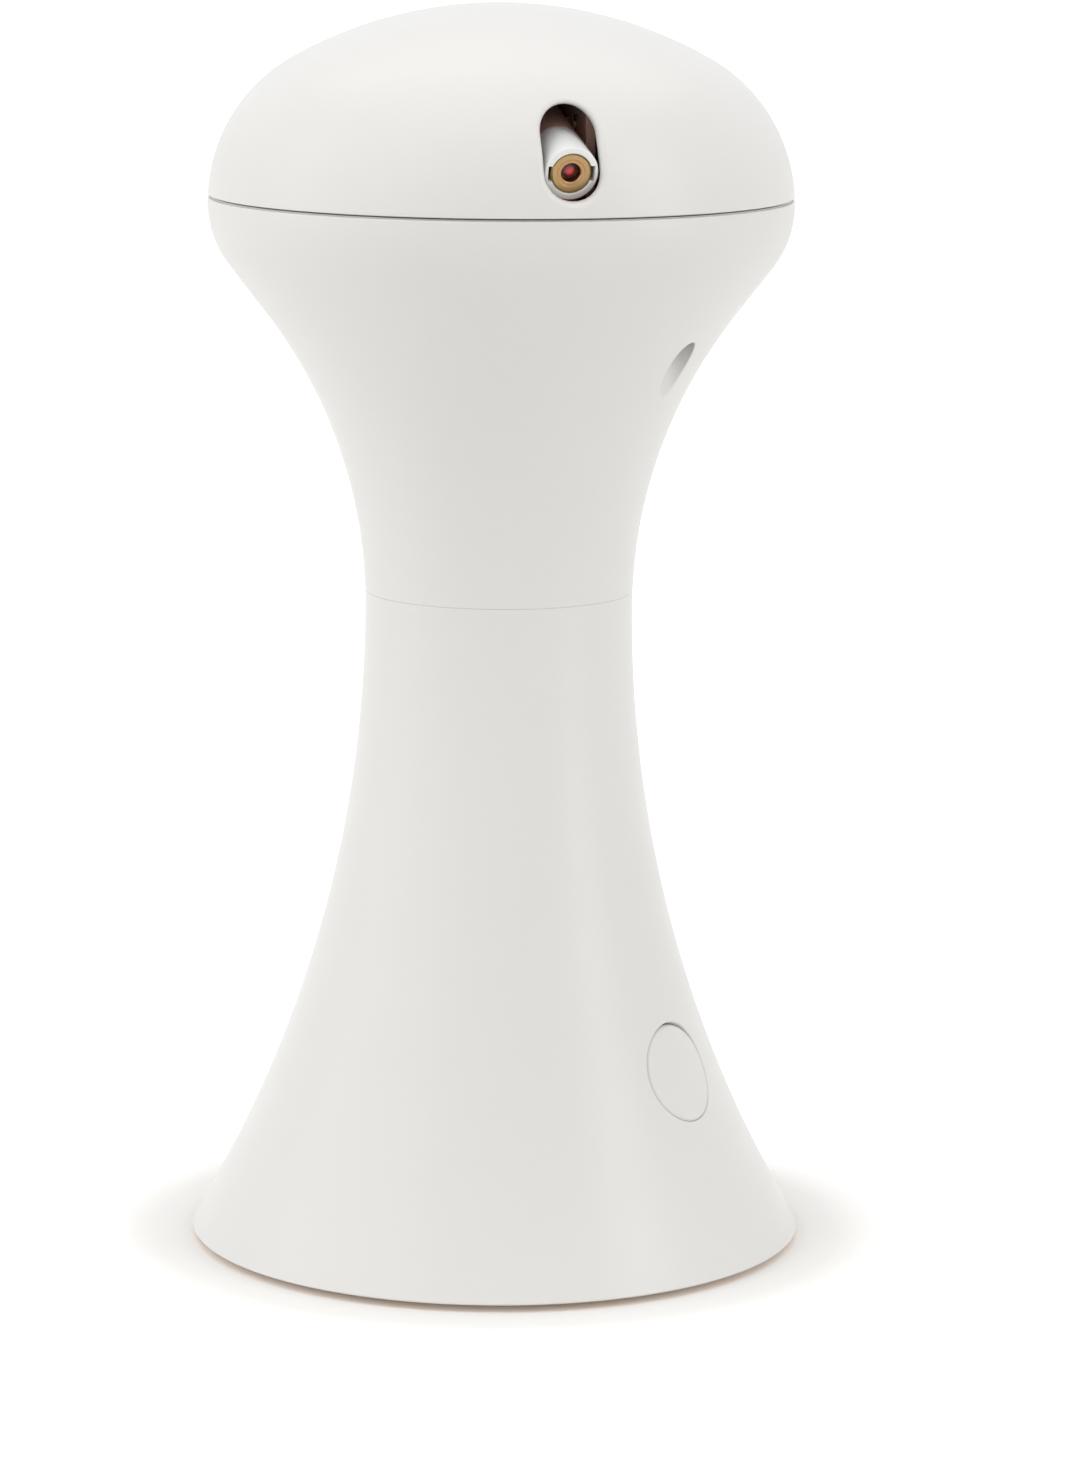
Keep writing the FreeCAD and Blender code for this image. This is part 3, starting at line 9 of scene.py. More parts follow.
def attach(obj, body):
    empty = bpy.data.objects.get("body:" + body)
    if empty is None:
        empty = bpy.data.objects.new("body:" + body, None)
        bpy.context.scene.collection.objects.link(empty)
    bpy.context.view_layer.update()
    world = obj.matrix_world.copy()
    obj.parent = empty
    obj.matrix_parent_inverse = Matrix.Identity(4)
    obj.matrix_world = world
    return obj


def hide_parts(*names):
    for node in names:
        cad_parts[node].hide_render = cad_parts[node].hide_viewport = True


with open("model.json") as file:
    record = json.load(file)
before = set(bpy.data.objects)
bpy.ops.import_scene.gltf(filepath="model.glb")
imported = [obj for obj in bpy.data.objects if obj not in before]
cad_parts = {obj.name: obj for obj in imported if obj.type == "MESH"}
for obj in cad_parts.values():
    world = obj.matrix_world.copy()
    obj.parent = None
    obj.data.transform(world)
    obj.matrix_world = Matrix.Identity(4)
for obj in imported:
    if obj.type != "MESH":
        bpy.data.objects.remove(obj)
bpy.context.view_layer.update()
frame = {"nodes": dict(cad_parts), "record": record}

MM = 0.001
SIDE = math.radians(57.8)      # the turn of the button and the screw wells
HEAD = math.radians(14.0)      # the turn of the dome and its lasers
COLUMNS = 180                  # segments round the turned shells
SHARP = math.radians(32)       # where a face turns more than this, its edge stays sharp
PIVOT_RING, PIVOT_HEIGHT, REST_TILT = 30.0, 230.2, math.radians(16.0)
FOOT_RING = 50.08

# ---- node materials


def add_node(tree, kind, values=None, sources=None, **settings):
    """A node with its settings, the values of its inputs and the outputs that feed them."""
    node = tree.nodes.new("ShaderNode" + kind)
    for name, value in settings.items():
        setattr(node, name, value)
    for name, value in (values or {}).items():
        node.inputs[name].default_value = value
    for name, source in (sources or {}).items():
        tree.links.new(source, node.inputs[name])
    return node


def map_range(tree, source, first, last, low, high):
    """Lay out what a source gives from first to last between low and high."""
    ends = {"From Min": first, "From Max": last, "To Min": low, "To Max": high}
    return add_node(tree, "MapRange", ends, {"Value": source}).outputs["Result"]


def combine(tree, operation, one, two, clamp=False):
    return add_node(tree, "Math", None, {0: one, 1: two}, operation=operation, use_clamp=clamp).outputs[0]


def colour_mix(tree, share, one, two):
    """One colour where the share is 0, another where it is 1."""
    return add_node(tree, "Mix", {6: (*one, 1), 7: (*two, 1)}, {0: share}, data_type="RGBA").outputs[2]


class Surface:
    """A node material whose colour, roughness and relief come from layers of noise on object coordinates."""

    def __init__(self, name, colour, roughness, **settings):
        self.material = bpy.data.materials.new(name)
        self.material.use_nodes = True
        self.tree = self.material.node_tree
        self.inputs = self.tree.nodes["Principled BSDF"].inputs
        self.colour, self.roughness, self.normal = colour, roughness, None
        self.inputs["Base Color"].default_value = (*colour, 1)
        self.inputs["Roughness"].default_value = roughness
        for key, value in settings.items():
            self.inputs[key.replace("_", " ")].default_value = value
        self.place = add_node(self.tree, "TexCoord").outputs["Object"]

    def feed(self, name, source):
        self.tree.links.new(source, self.inputs[name])

    def noise(self, scale, detail, stretch=None, seed=0.0):
        """A noise in cycles per metre; a stretch by three scales gives brushed or turned marks."""
        place = self.place
        if stretch:
            place = add_node(self.tree, "Mapping", {"Scale": stretch}, {"Vector": place}).outputs["Vector"]
        values = {"W": seed, "Scale": scale, "Detail": detail}
        return add_node(self.tree, "TexNoise", values, {"Vector": place}, noise_dimensions="4D").outputs["Fac"]

    def ranged(self, source, low, high, first=0.3, last=0.7):
        return map_range(self.tree, source, first, last, low, high)

    def radius(self):
        """The distance from the piece's own Z axis, in metres."""
        flat = add_node(self.tree, "VectorMath", {1: (1, 1, 0)}, {0: self.place}, operation="MULTIPLY").outputs[0]
        return add_node(self.tree, "VectorMath", None, {0: flat}, operation="LENGTH").outputs["Value"]

    def tint(self, source, other, first=0.35, last=0.65):
        """Blend the colour towards another where a source is high."""
        self.feed("Base Color", colour_mix(self.tree, self.ranged(source, 0.0, 1.0, first, last), self.colour, other))

    def rough(self, source, spread):
        """Let the roughness wander about its middle by a spread."""
        self.feed("Roughness", self.ranged(source, self.roughness - spread, self.roughness + spread))

    def relief(self, source, distance):
        """Add a bump whose full height is a distance in metres."""
        sources = {"Height": source, "Normal": self.normal} if self.normal else {"Height": source}
        self.normal = add_node(self.tree, "Bump", {"Distance": distance, "Strength": 1.0}, sources).outputs["Normal"]
        self.feed("Normal", self.normal)


def moulded_gloss(name, colour, warm, roughness=0.34):
    """Polished moulded plastic: a faint drift of colour, faint flow waves and a very fine skin."""
    surface = Surface(name, colour, roughness, IOR=1.4)
    surface.tint(surface.noise(14, 3, seed=1.3), warm)
    surface.rough(surface.noise(90, 3, seed=4.1), 0.035)
    surface.relief(surface.noise(55, 1, seed=2.7), 0.00002)
    surface.relief(surface.noise(2600, 2, seed=9.2), 0.0000012)
    return surface.material


def layered(name, colour, other, roughness, tint, rough, relief, **settings):
    """A material of up to three noises, each (cycles per metre, detail, stretch, seed): one for the drift towards
    another colour, one with its spread of roughness, and one with its height in metres."""
    surface = Surface(name, colour, roughness, **settings)
    surface.tint(surface.noise(*tint), other)
    if rough:
        surface.rough(surface.noise(*rough[:4]), rough[4])
    surface.relief(surface.noise(*relief[:4]), relief[4])
    return surface.material


def moulded_matt(name, colour, other, roughness=0.5):
    """Spark-eroded plastic: a fine even grain."""
    return layered(name, colour, other, roughness, (60, 3, None, 3.3), (300, 3, None, 5.5, 0.06),
                   (1900, 3, None, 7.9, 0.000012), IOR=1.49)


def metal(name, colour, other, roughness, stretch=(1, 1, 1)):
    """Bare or plated metal with marks drawn out along one way."""
    return layered(name, colour, other, roughness, (240, 3, stretch, 6.1), (1200, 3, stretch, 8.3, 0.07),
                   (2400, 2, stretch, 2.2, 0.000002), Metallic=1.0)


def rubber(name):
    return layered(name, (0.03, 0.03, 0.032), (0.06, 0.058, 0.055), 0.75, (700, 3, None, 1.1), None,
                   (2600, 3, None, 4.4, 0.00003), Specular_IOR_Level=0.35)


def circuit_board(name):
    """Green solder resist over a faint weave."""
    return layered(name, (0.012, 0.11, 0.035), (0.02, 0.16, 0.05), 0.3, (500, 2, (1, 1, 6), 3.7),
                   (900, 2, None, 2.9, 0.05), (1400, 1, (1, 1, 4), 5.8, 0.00001), IOR=1.52)


def cell_jacket(name):
    """A satin film with no print on it."""
    return layered(name, (0.06, 0.16, 0.12), (0.09, 0.22, 0.16), 0.32, (80, 2, (1, 0.2, 1), 1.9),
                   (500, 2, None, 7.1, 0.05), (700, 2, (1, 0.1, 1), 3.9, 0.000008), Metallic=0.55)


def lens_glow(name):
    """A dark red lens with the diode's glow in its middle."""
    surface = Surface(name, (0.05, 0.008, 0.008), 0.1, IOR=1.5, Emission_Color=(0.9, 0.04, 0.05, 1))
    surface.tint(surface.noise(900, 2, seed=5.1), (0.09, 0.012, 0.012))
    surface.rough(surface.noise(1500, 2, seed=6.6), 0.03)
    glow = surface.ranged(surface.radius(), 0.55, 0.0, 0.0003, 0.0011)
    surface.feed("Emission Strength", glow)
    return surface.material


def turned_brass(name):
    """Brass with fine turning marks round its axis, and a darker, warmer face near the aperture: painted red light,
    as if from the diode's glow.
    """
    surface = Surface(name, (0.4, 0.275, 0.125), 0.36, Metallic=1.0)
    # painted red glow: the face within about 3 mm of the axis is tinted redder, as if lit by the diode
    surface.tint(surface.ranged(surface.radius(), 0.0, 1.0, 0.0022, 0.0034), (0.42, 0.25, 0.125), 1.0, 0.0)
    marks = add_node(surface.tree, "TexNoise", {"Scale": 9000}, {"W": surface.radius()},
                     noise_dimensions="1D").outputs["Fac"]
    surface.rough(marks, 0.08)
    surface.relief(marks, 0.000004)
    surface.relief(surface.noise(3000, 2, seed=2.2), 0.000002)
    return surface.material


WHITE = (0.745, 0.742, 0.728)
WARM = (0.735, 0.728, 0.708)

MATERIALS = {name: make(name, *settings) for name, make, *settings in (
    ("shell_white", moulded_gloss, WHITE, WARM),
    ("button_white", moulded_gloss, WHITE, WARM, 0.32),
    # the sleeve's white is cooler than the shells' and painted lighter, standing in for light that the slot shades
    # from it
    ("tube_white", moulded_gloss, (0.85, 0.86, 0.86), (0.83, 0.84, 0.835), 0.3),
    ("plate_white", moulded_matt, (0.68, 0.67, 0.645), (0.65, 0.638, 0.61)),
    ("foot_rubber", rubber),
    ("screw_steel", metal, (0.55, 0.54, 0.52), (0.42, 0.41, 0.4), 0.32),
    ("switch_black", moulded_matt, (0.02, 0.02, 0.021), (0.03, 0.03, 0.03), 0.45),
    ("board_green", circuit_board),
    ("chip_black", moulded_matt, (0.015, 0.015, 0.016), (0.024, 0.024, 0.024), 0.55),
    ("capacitor_black", moulded_matt, (0.018, 0.018, 0.03), (0.03, 0.03, 0.045), 0.3),
    ("cell_jacket", cell_jacket),
    ("contact_nickel", metal, (0.7, 0.68, 0.64), (0.6, 0.58, 0.54), 0.25, (1, 1, 12)),
    ("dark_plastic", moulded_matt, (0.035, 0.032, 0.03), (0.045, 0.04, 0.036), 0.5),
    # brown inner plastic, painted lighter and redder to stand for the lasers' red light scattered inside the head
    ("deck_brown", moulded_matt, (0.66, 0.4, 0.33), (0.7, 0.43, 0.36), 0.42),
    ("bush_bronze", metal, (0.6, 0.4, 0.18), (0.5, 0.32, 0.14), 0.35, (1, 1, 14)),
    ("washer_nylon", moulded_matt, (0.7, 0.68, 0.62), (0.66, 0.64, 0.58), 0.45),
    ("motor_steel", metal, (0.58, 0.57, 0.55), (0.5, 0.49, 0.47), 0.28, (1, 1, 10)),
    ("shaft_steel", metal, (0.62, 0.61, 0.6), (0.54, 0.53, 0.52), 0.2, (1, 1, 20)),
    ("gear_acetal", moulded_matt, (0.74, 0.73, 0.69), (0.7, 0.69, 0.65), 0.38),
    ("track_copper", metal, (0.72, 0.36, 0.2), (0.6, 0.28, 0.15), 0.25),
    ("module_brass", turned_brass),
    ("lens_glass", lens_glow),
)}

SLOTS = {row["node"]: row["material_slot"] for row in frame["record"]["subparts"]}
for node_name, node_object in frame["nodes"].items():
    node_object.data.materials.clear()
    node_object.data.materials.append(MATERIALS[SLOTS[node_name]])

# ---- profiles, in millimetres


class Arc:
    """A part of a turned profile: way is 1 where the arc's centre lies inside the body, -1 where it lies outside."""

    def __init__(self, centre_r, centre_z, radius, way, low, high):
        self.centre_r, self.centre_z, self.radius, self.way = centre_r, centre_z, radius, way
        self.low, self.high = low, high

    def ends(self, depth):
        reach = self.radius - self.way * depth
        return (self.centre_z + reach * math.sin(self.low), self.centre_z + reach * math.sin(self.high))

    def at(self, z, depth):
        reach = self.radius - self.way * depth
        lean = math.asin(max(-1, min(1, (z - self.centre_z) / reach)))
        return (self.centre_r + self.way * reach * math.cos(lean), math.cos(lean), self.way * math.sin(lean))


class Run:
    """A straight part of a turned profile, from its lower end to its upper one."""

    def __init__(self, low_r, low_z, high_r, high_z):
        self.low, self.high = (low_r, low_z), (high_r, high_z)
        run = math.hypot(high_r - low_r, high_z - low_z)
        self.normal = ((high_z - low_z) / run, -(high_r - low_r) / run)

    def ends(self, depth):
        return (self.low[1] - depth * self.normal[1], self.high[1] - depth * self.normal[1])

    def at(self, z, depth):
        low, high = self.ends(depth)
        share = (z - low) / (high - low)
        r = self.low[0] - depth * self.normal[0] + share * (self.high[0] - self.low[0])
        return (r, *self.normal)


class Profile:
    """A turned face, from its foot up: parts that follow one another smoothly, at a depth inside the outer face."""

    def __init__(self, parts, depth=0.0):
        self.parts, self.depth = parts, depth

    def inside(self, depth):
        return Profile(self.parts, depth)

    def at(self, z):
        """Radius, and the outward normal's radial and vertical shares."""
        for part in self.parts:
            if z <= part.ends(self.depth)[1]:
                return part.at(z, self.depth)
        return self.parts[-1].at(z, self.depth)


BASE_RADIUS, SKIRT, NECK_RADIUS, NECK, SEAM = 63.0, 1.5, 27.2, 131.5, 134.5
HEAD_RADIUS, RIM, LIP_TOP, DOME_FOOT, TOP = 59.0, 213.0, 214.14, 214.67, 253.0
FLARE, LIP, SHOULDER, WALL = 98.0, 20.0, 33.3, 2.2

sweep = ((NECK - SKIRT) ** 2 + (BASE_RADIUS - NECK_RADIUS) ** 2) / (2 * (BASE_RADIUS - NECK_RADIUS))
column = Profile([Arc(NECK_RADIUS + sweep, NECK, sweep, -1, -math.asin((NECK - SKIRT) / sweep), 0),
                  Run(NECK_RADIUS, NECK, NECK_RADIUS, SEAM)])

across, up = HEAD_RADIUS - LIP - NECK_RADIUS - FLARE, RIM - NECK
bend = math.acos(-(FLARE + LIP) / math.hypot(across, up)) - math.atan2(up, across)
flare_end = (NECK_RADIUS + FLARE - FLARE * math.cos(bend), NECK + FLARE * math.sin(bend))
lip_start = (HEAD_RADIUS - LIP + LIP * math.cos(bend), RIM - LIP * math.sin(bend))
funnel = Profile([Arc(NECK_RADIUS + FLARE, NECK, FLARE, -1, 0, bend), Run(*flare_end, *lip_start),
                  Arc(HEAD_RADIUS - LIP, RIM, LIP, 1, -bend, 0), Run(HEAD_RADIUS, RIM, HEAD_RADIUS, LIP_TOP)])

shoulder_r = HEAD_RADIUS - SHOULDER
crown = (shoulder_r ** 2 + (TOP - RIM) ** 2 - SHOULDER ** 2) / (2 * (TOP - RIM - SHOULDER))
meet = math.atan2(crown - (TOP - RIM), shoulder_r)
dome = Profile([Arc(shoulder_r, RIM, SHOULDER, 1, 0, meet), Arc(0, TOP - crown, crown, 1, meet, math.pi / 2)])

# ---- skins


def turned(angle):
    return Matrix.Rotation(angle, 4, "Z")


def quarters(start, offset):
    """Four places a quarter of a turn apart, each moved out from the axis."""
    return [turned(start + math.pi / 2 * quarter) @ Matrix.Translation(offset) for quarter in range(4)]


def beam_place(facing):
    """A laser's pivot at rest, in metres: X across, Y up and Z along the beam."""
    return (turned(HEAD + facing) @ Matrix.Translation((0, -PIVOT_RING * MM, PIVOT_HEIGHT * MM))
            @ Matrix.Rotation(REST_TILT, 4, "X") @ Matrix.Rotation(math.pi / 2, 4, "X"))


def new_object(name, data):
    item = bpy.data.objects.new(name, data)
    bpy.context.scene.collection.objects.link(item)
    return item


def shade(work, mesh, exact=False):
    """Write a bmesh to its mesh, all smooth, with its sharp edges marked unless its normals are exact."""
    for edge in work.edges:
        edge.smooth = exact or edge.calc_face_angle(0) < SHARP
    work.to_mesh(mesh)
    work.free()
    mesh.polygons.foreach_set("use_smooth", [True] * len(mesh.polygons))


class Skin:
    """A closed mesh made vertex by vertex in millimetres, with exact normals where every vertex is given one."""

    def __init__(self):
        self.points, self.normals, self.faces = [], [], []

    def vertex(self, point, normal=None):
        self.points.append(Vector(point))
        self.normals.append(Vector(normal).normalized() if normal is not None else None)
        return len(self.points) - 1

    def bridge(self, one, two, gaps=()):
        """Quads between two loops of as many vertices, but for gaps, or a fan where one is a single vertex."""
        if isinstance(one, int) or isinstance(two, int):
            tip, loop = (one, two) if isinstance(one, int) else (two, one)
            self.faces += [(loop[i], loop[(i + 1) % len(loop)], tip) for i in range(len(loop))]
            return
        for index in range(len(one)):
            if index not in gaps:
                after = (index + 1) % len(one)
                self.faces.append((one[index], one[after], two[after], two[index]))

    def chain(self, loops, closed=False):
        for one, two in zip(loops, loops[1:] + (loops[:1] if closed else [])):
            self.bridge(one, two)

    def turn(self, rows, count, place=None, start=0.0):
        """The loops of rows of (r, z, normal r, normal z), turned about the Z axis of a placement in millimetres."""
        place = place or Matrix()
        spin_only = place.to_3x3()
        loops = []
        for r, z, normal_r, normal_z in rows:
            if r < 1e-6:
                loops.append(self.vertex(place @ Vector((0, 0, z)), spin_only @ Vector((0, 0, normal_z or 1))))
                continue
            loop = []
            for index in range(count):
                angle = 2 * math.pi * index / count + start
                c, s = math.cos(angle), math.sin(angle)
                loop.append(self.vertex(place @ Vector((r * c, r * s, z)),
                                        spin_only @ Vector((normal_r * c, normal_r * s, normal_z))))
            loops.append(loop)
        return loops

    def ring(self, angles, radius, z, place=None):
        """A ring in polar form: its radius is a number or a function of the angle."""
        place = place or Matrix()
        loop = []
        for angle in angles:
            reach = radius(angle) if callable(radius) else radius
            loop.append(self.vertex(place @ Vector((reach * math.cos(angle), reach * math.sin(angle), z))))
        return loop

    def piece(self, name, slot, body, replaced=(), place=None, turn=0.0):
        """Finish the piece in metres, riding on its body and standing for the nodes that it replaces."""
        mesh = bpy.data.meshes.new(name)
        mesh.from_pydata([tuple(point * MM) for point in self.points], [], self.faces)
        exact = all(normal is not None for normal in self.normals)
        work = bmesh.new()
        work.from_mesh(mesh)
        bmesh.ops.recalc_face_normals(work, faces=work.faces)
        shade(work, mesh, exact)
        if exact:
            mesh.normals_split_custom_set_from_vertices([tuple(normal) for normal in self.normals])
        mesh.transform(turned(turn))
        finish_piece(mesh, name, slot, body, replaced, place, not exact)


def finish_piece(mesh, name, slot, body, replaced, place, weighted):
    mesh.materials.clear()
    mesh.materials.append(MATERIALS[slot])
    item = new_object(name, mesh)
    item.matrix_world = place or Matrix()
    if weighted:
        item.modifiers.new("even", "WEIGHTED_NORMAL").keep_sharp = True
    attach(item, body)
    if replaced:
        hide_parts(*replaced)


def soften(name, node, body, width):
    """A carried-over solid with its edges broken: the same faces, with a small bevel on each sharp edge."""
    mesh = frame["nodes"][node].data.copy()
    work = bmesh.new()
    work.from_mesh(mesh)
    bmesh.ops.remove_doubles(work, verts=work.verts, dist=1e-6)
    bmesh.ops.dissolve_limit(work, angle_limit=math.radians(1), verts=work.verts, edges=work.edges)
    sharp = [edge for edge in work.edges if len(edge.link_faces) == 2 and edge.calc_face_angle(0) > SHARP]
    bmesh.ops.bevel(work, geom=sharp, offset=width * MM, segments=2, profile=0.5, affect="EDGES",
                    clamp_overlap=True)
    bmesh.ops.triangulate(work, faces=[face for face in work.faces if len(face.verts) > 4])
    shade(work, mesh)
    mesh.name = name
    finish_piece(mesh, name, SLOTS[node], body, (node,), None, True)


def columns_of(skin, path):
    """The loops of a path turned in the shells' columns; column 0 faces -Y."""
    return skin.turn(path, COLUMNS, None, -math.pi / 2)


def turn_path(skin, path, closed, windows):
    """Turn a path of rows, leaving out each window's cells; returns the rows' vertices.
    A window is (first row, last row, middle column, half width in columns)."""
    rows = columns_of(skin, path)
    for index in range(len(path) if closed else len(path) - 1):
        gaps = {(middle - half + i) % COLUMNS for first, last, middle, half in windows if first <= index < last
                for i in range(2 * half)}
        skin.bridge(rows[index], rows[(index + 1) % len(path)], gaps)
    return rows


def window_loop(rows, window):
    """The vertices round a window, in order."""
    first, last, middle, half = window
    columns = [(middle - half + i) % COLUMNS for i in range(2 * half + 1)]
    loop = [rows[first][i] for i in columns]
    loop += [rows[row][columns[-1]] for row in range(first + 1, last)]
    loop += [rows[last][i] for i in reversed(columns)]
    loop += [rows[row][columns[0]] for row in range(last - 1, first, -1)]
    return loop


class Hole:
    """A round or round-ended hole: its axis w points out of the body, and its long way, if any, runs along v."""

    def __init__(self, origin, u, v, w, radius, half_length=0.0):
        self.origin, self.u, self.v, self.w = (Vector(item) for item in (origin, u, v, w))
        self.radius, self.half_length = radius, half_length

    def point(self, ray, distance, out):
        across, middle, along = ray
        return (self.origin + self.u * (across * distance) + self.v * (middle + along * distance) + self.w * out)

    def ray(self, point):
        """Where a point lies round the hole: the outline's direction there, its middle, and the distance out."""
        across, along = (point - self.origin).dot(self.u), (point - self.origin).dot(self.v)
        middle = max(-self.half_length, min(self.half_length, along))
        distance = math.hypot(across, along - middle)
        return (across / distance, middle, (along - middle) / distance), distance

    def outward(self, ray):
        return self.u * ray[0] + self.v * ray[2]

    def surface(self, ray, distance, profile, low, high):
        """The point of a turned face at a distance along a ray, with the face's normal there."""
        for _ in range(44):
            out = (low + high) / 2
            point = self.point(ray, distance, out)
            low, high = (low, out) if math.hypot(point.x, point.y) > profile.at(point.z)[0] else (out, high)
        _, normal_r, normal_z = profile.at(point.z)
        flat = Vector((point.x, point.y, 0)).normalized()
        return point, flat * normal_r + Vector((0, 0, normal_z))

    def face_ring(self, skin, rays, distance, profile, span):
        """The ring of a turned face at one distance from the axis."""
        return [skin.vertex(*self.surface(ray, distance, profile, *span)) for ray in rays]

    def rings(self, skin, rays, rows):
        """Rings about the axis, from rows of (distance, out, normal outward, normal along the axis)."""
        loops = []
        for distance, out, normal_r, normal_w in rows:
            if distance < 1e-6:
                loops.append(skin.vertex(self.origin + self.w * out, self.w * (normal_w or 1)))
                continue
            loops.append([skin.vertex(self.point(ray, distance, out),
                                      self.outward(ray) * normal_r + self.w * normal_w) for ray in rays])
        return loops


def both_windows(first, last, half):
    """The same window at the front and at the back."""
    return [(first, last, middle, half) for middle in (0, COLUMNS // 2)]


def round_rays(count):
    return [(math.cos(2 * math.pi * i / count), 0.0, math.sin(2 * math.pi * i / count)) for i in range(count)]


def sunk_edge(skin, loop, hole, profile, lip, span, steps, turns, flip=1):
    """Carry a window's loop in to the hole's outline and round it over by a lip; returns rays and the last loop.
    flip is -1 on an inner face, whose lip rolls outward instead."""
    rays = [hole.ray(skin.points[index]) for index in loop]
    near = hole.radius + lip
    before = loop
    for step in range(1, steps + 1):
        ring = []
        for ray, distance in rays:
            point, normal = hole.surface(ray, near + (distance - near) * (1 - step / steps), profile, *span)
            ring.append(skin.vertex(point, normal * flip))
        skin.bridge(before, ring)
        before = ring
    for step in range(1, turns + 1):
        angle = math.pi / 2 * step / turns
        ring = []
        for ray, _ in rays:
            point, normal = hole.surface(ray, near - lip * math.sin(angle), profile, *span)
            point = point - hole.w * (flip * lip * (1 - math.cos(angle)))
            ring.append(skin.vertex(point, normal * (flip * math.cos(angle)) - hole.outward(ray) * math.sin(angle)))
        skin.bridge(before, ring)
        before = ring
    return [ray for ray, _ in rays], before


def match(skin, loop, other, hole):
    """A loop turned and reversed so that it runs beside another round the same hole."""

    def around(index):
        offset = skin.points[index] - hole.origin
        return math.atan2(offset.dot(hole.v), offset.dot(hole.u))

    def away(one, two):
        return abs((one - two + math.pi) % (2 * math.pi) - math.pi)

    angles = [around(index) for index in loop]
    target = [around(index) for index in other[:2]]
    start = min(range(len(loop)), key=lambda i: away(angles[i], target[0]))
    forward = loop[start:] + loop[:start]
    backward = [forward[0]] + forward[:0:-1]
    after, before = (start + 1) % len(loop), (start - 1) % len(loop)
    return forward if away(angles[after], target[1]) < away(angles[before], target[1]) else backward


def fillet(centre_r, centre_z, radius, first, last, turns=4):
    """Rows round a small edge; the angles run from first to last in degrees, 0 outward and 90 up."""
    rows = []
    for step in range(turns + 1):
        angle = math.radians(first + (last - first) * step / turns)
        rows.append((centre_r + radius * math.cos(angle), centre_z + radius * math.sin(angle),
                     math.cos(angle), math.sin(angle)))
    return rows


def rounded(corners, closed=False, turns=3):
    """Rows along an outline of (r, z, edge radius) corners, with the body on its left; each corner is rounded."""
    rows = []
    count = len(corners)
    for index, (r, z, edge) in enumerate(corners):
        here = Vector((r, z))
        before = here - Vector(corners[index - 1][:2])
        after = Vector(corners[(index + 1) % count][:2]) - here
        if not closed and index in (0, count - 1):
            way = (after if index == 0 else before).normalized()
            rows.append((r, z, way.y, -way.x))
            continue
        one, two = before.normalized(), after.normalized()
        bend = math.atan2(one.x * two.y - one.y * two.x, one.dot(two))
        start = here - one * (edge * math.tan(abs(bend) / 2))
        hand = 1 if bend > 0 else -1
        centre = start + Vector((-one.y, one.x)) * (edge * hand)
        first = math.atan2(-one.x, one.y)
        for step in range(turns + 1):
            angle = first + bend * step / turns
            point = centre + Vector((math.cos(angle), math.sin(angle))) * (edge * hand)
            rows.append((point.x, point.y, math.cos(angle), math.sin(angle)))
    return rows


def face_rows(profile, heights, flip=1):
    """Rows up or down a profile; flip is -1 on an inner face."""
    rows = []
    for z in heights:
        radius, normal_r, normal_z = profile.at(z)
        rows.append((radius, z, flip * normal_r, flip * normal_z))
    return rows


def angles_with(corners, count):
    """The angles of an even division of the full turn, and those of some corners."""
    even = [2 * math.pi * i / count for i in range(count)]
    return sorted({round(angle % (2 * math.pi), 6) for angle in even + corners})


def evenly(low, high, count):
    return [low + (high - low) * index / count for index in range(count + 1)]


def spread(low, high, pitch):
    """Heights from low to high, evenly, at about a pitch."""
    return evenly(low, high, max(1, round(abs(high - low) / pitch)))


def height_at(profile, radius, low, high):
    """The height at which a profile that widens upward has a radius."""
    for _ in range(40):
        middle = (low + high) / 2
        low, high = (middle, high) if profile.at(middle)[0] < radius else (low, middle)
    return low


def stud(skin, hole, profile, span, foot, bore, depth):
    """A round stud inside a shell, from within its wall to a blind-bored end face at a distance along the axis."""
    rays = round_rays(32)
    rows = rounded([(0, foot + depth, 0), (bore, foot + depth, 0.05), (bore, foot, 0.15),
                    (hole.radius, foot, 0.25), (hole.radius, foot + 0.6, 0)])
    loops = hole.rings(skin, rays, rows)
    loops.append(hole.face_ring(skin, rays, hole.radius, profile, span))
    point, normal = hole.surface((1, 0, 0), 0.001, profile, *span)
    loops.append(skin.vertex(point, normal))
    skin.chain(loops)


# ---- stand

EDGE, INNER_EDGE = 0.3, 0.25    # how far the shells' edges are rounded
SEAM_EDGE = 0.16                # and those of the fine seam at the neck
CORE = 2.8                      # the stand's wall
SCREW_RING = 49.55              # the bottom plate's screws
BOARD_POST = 15.0               # from the button's axis to each post of the board
BUTTON_HEIGHT, BUTTON_HOLE, BUTTON_RADIUS = 39.4, 10.35, 10.24
BUTTON_SINK = 0.9               # how deep the button's face lies at its top
BUTTON_SHIFT = (0.05, -0.09)    # how far the button sits off its hole's middle, across and up


def foot_corner(profile, edge, way):
    """The rounded edge between the skirt's foot and its face: the height at which it leaves the face, its centre,
    and the face's lean there in degrees; way is 1 outside and -1 inside."""
    z = SKIRT
    for _ in range(20):
        z = SKIRT + edge * (1 + way * profile.at(z)[2])
    radius, normal_r, normal_z = profile.at(z)
    centre = (radius - way * edge * normal_r, z - way * edge * normal_z)
    return z, centre, math.degrees(math.atan2(normal_z, normal_r))


def button_frame():
    """The button's axis: its origin on the stand's face, then across, up the face and straight out."""
    radius, normal_r, normal_z = column.at(BUTTON_HEIGHT)
    return ((0, -radius, BUTTON_HEIGHT), (1, 0, 0), (0, normal_z, normal_r), (0, -normal_r, normal_z))


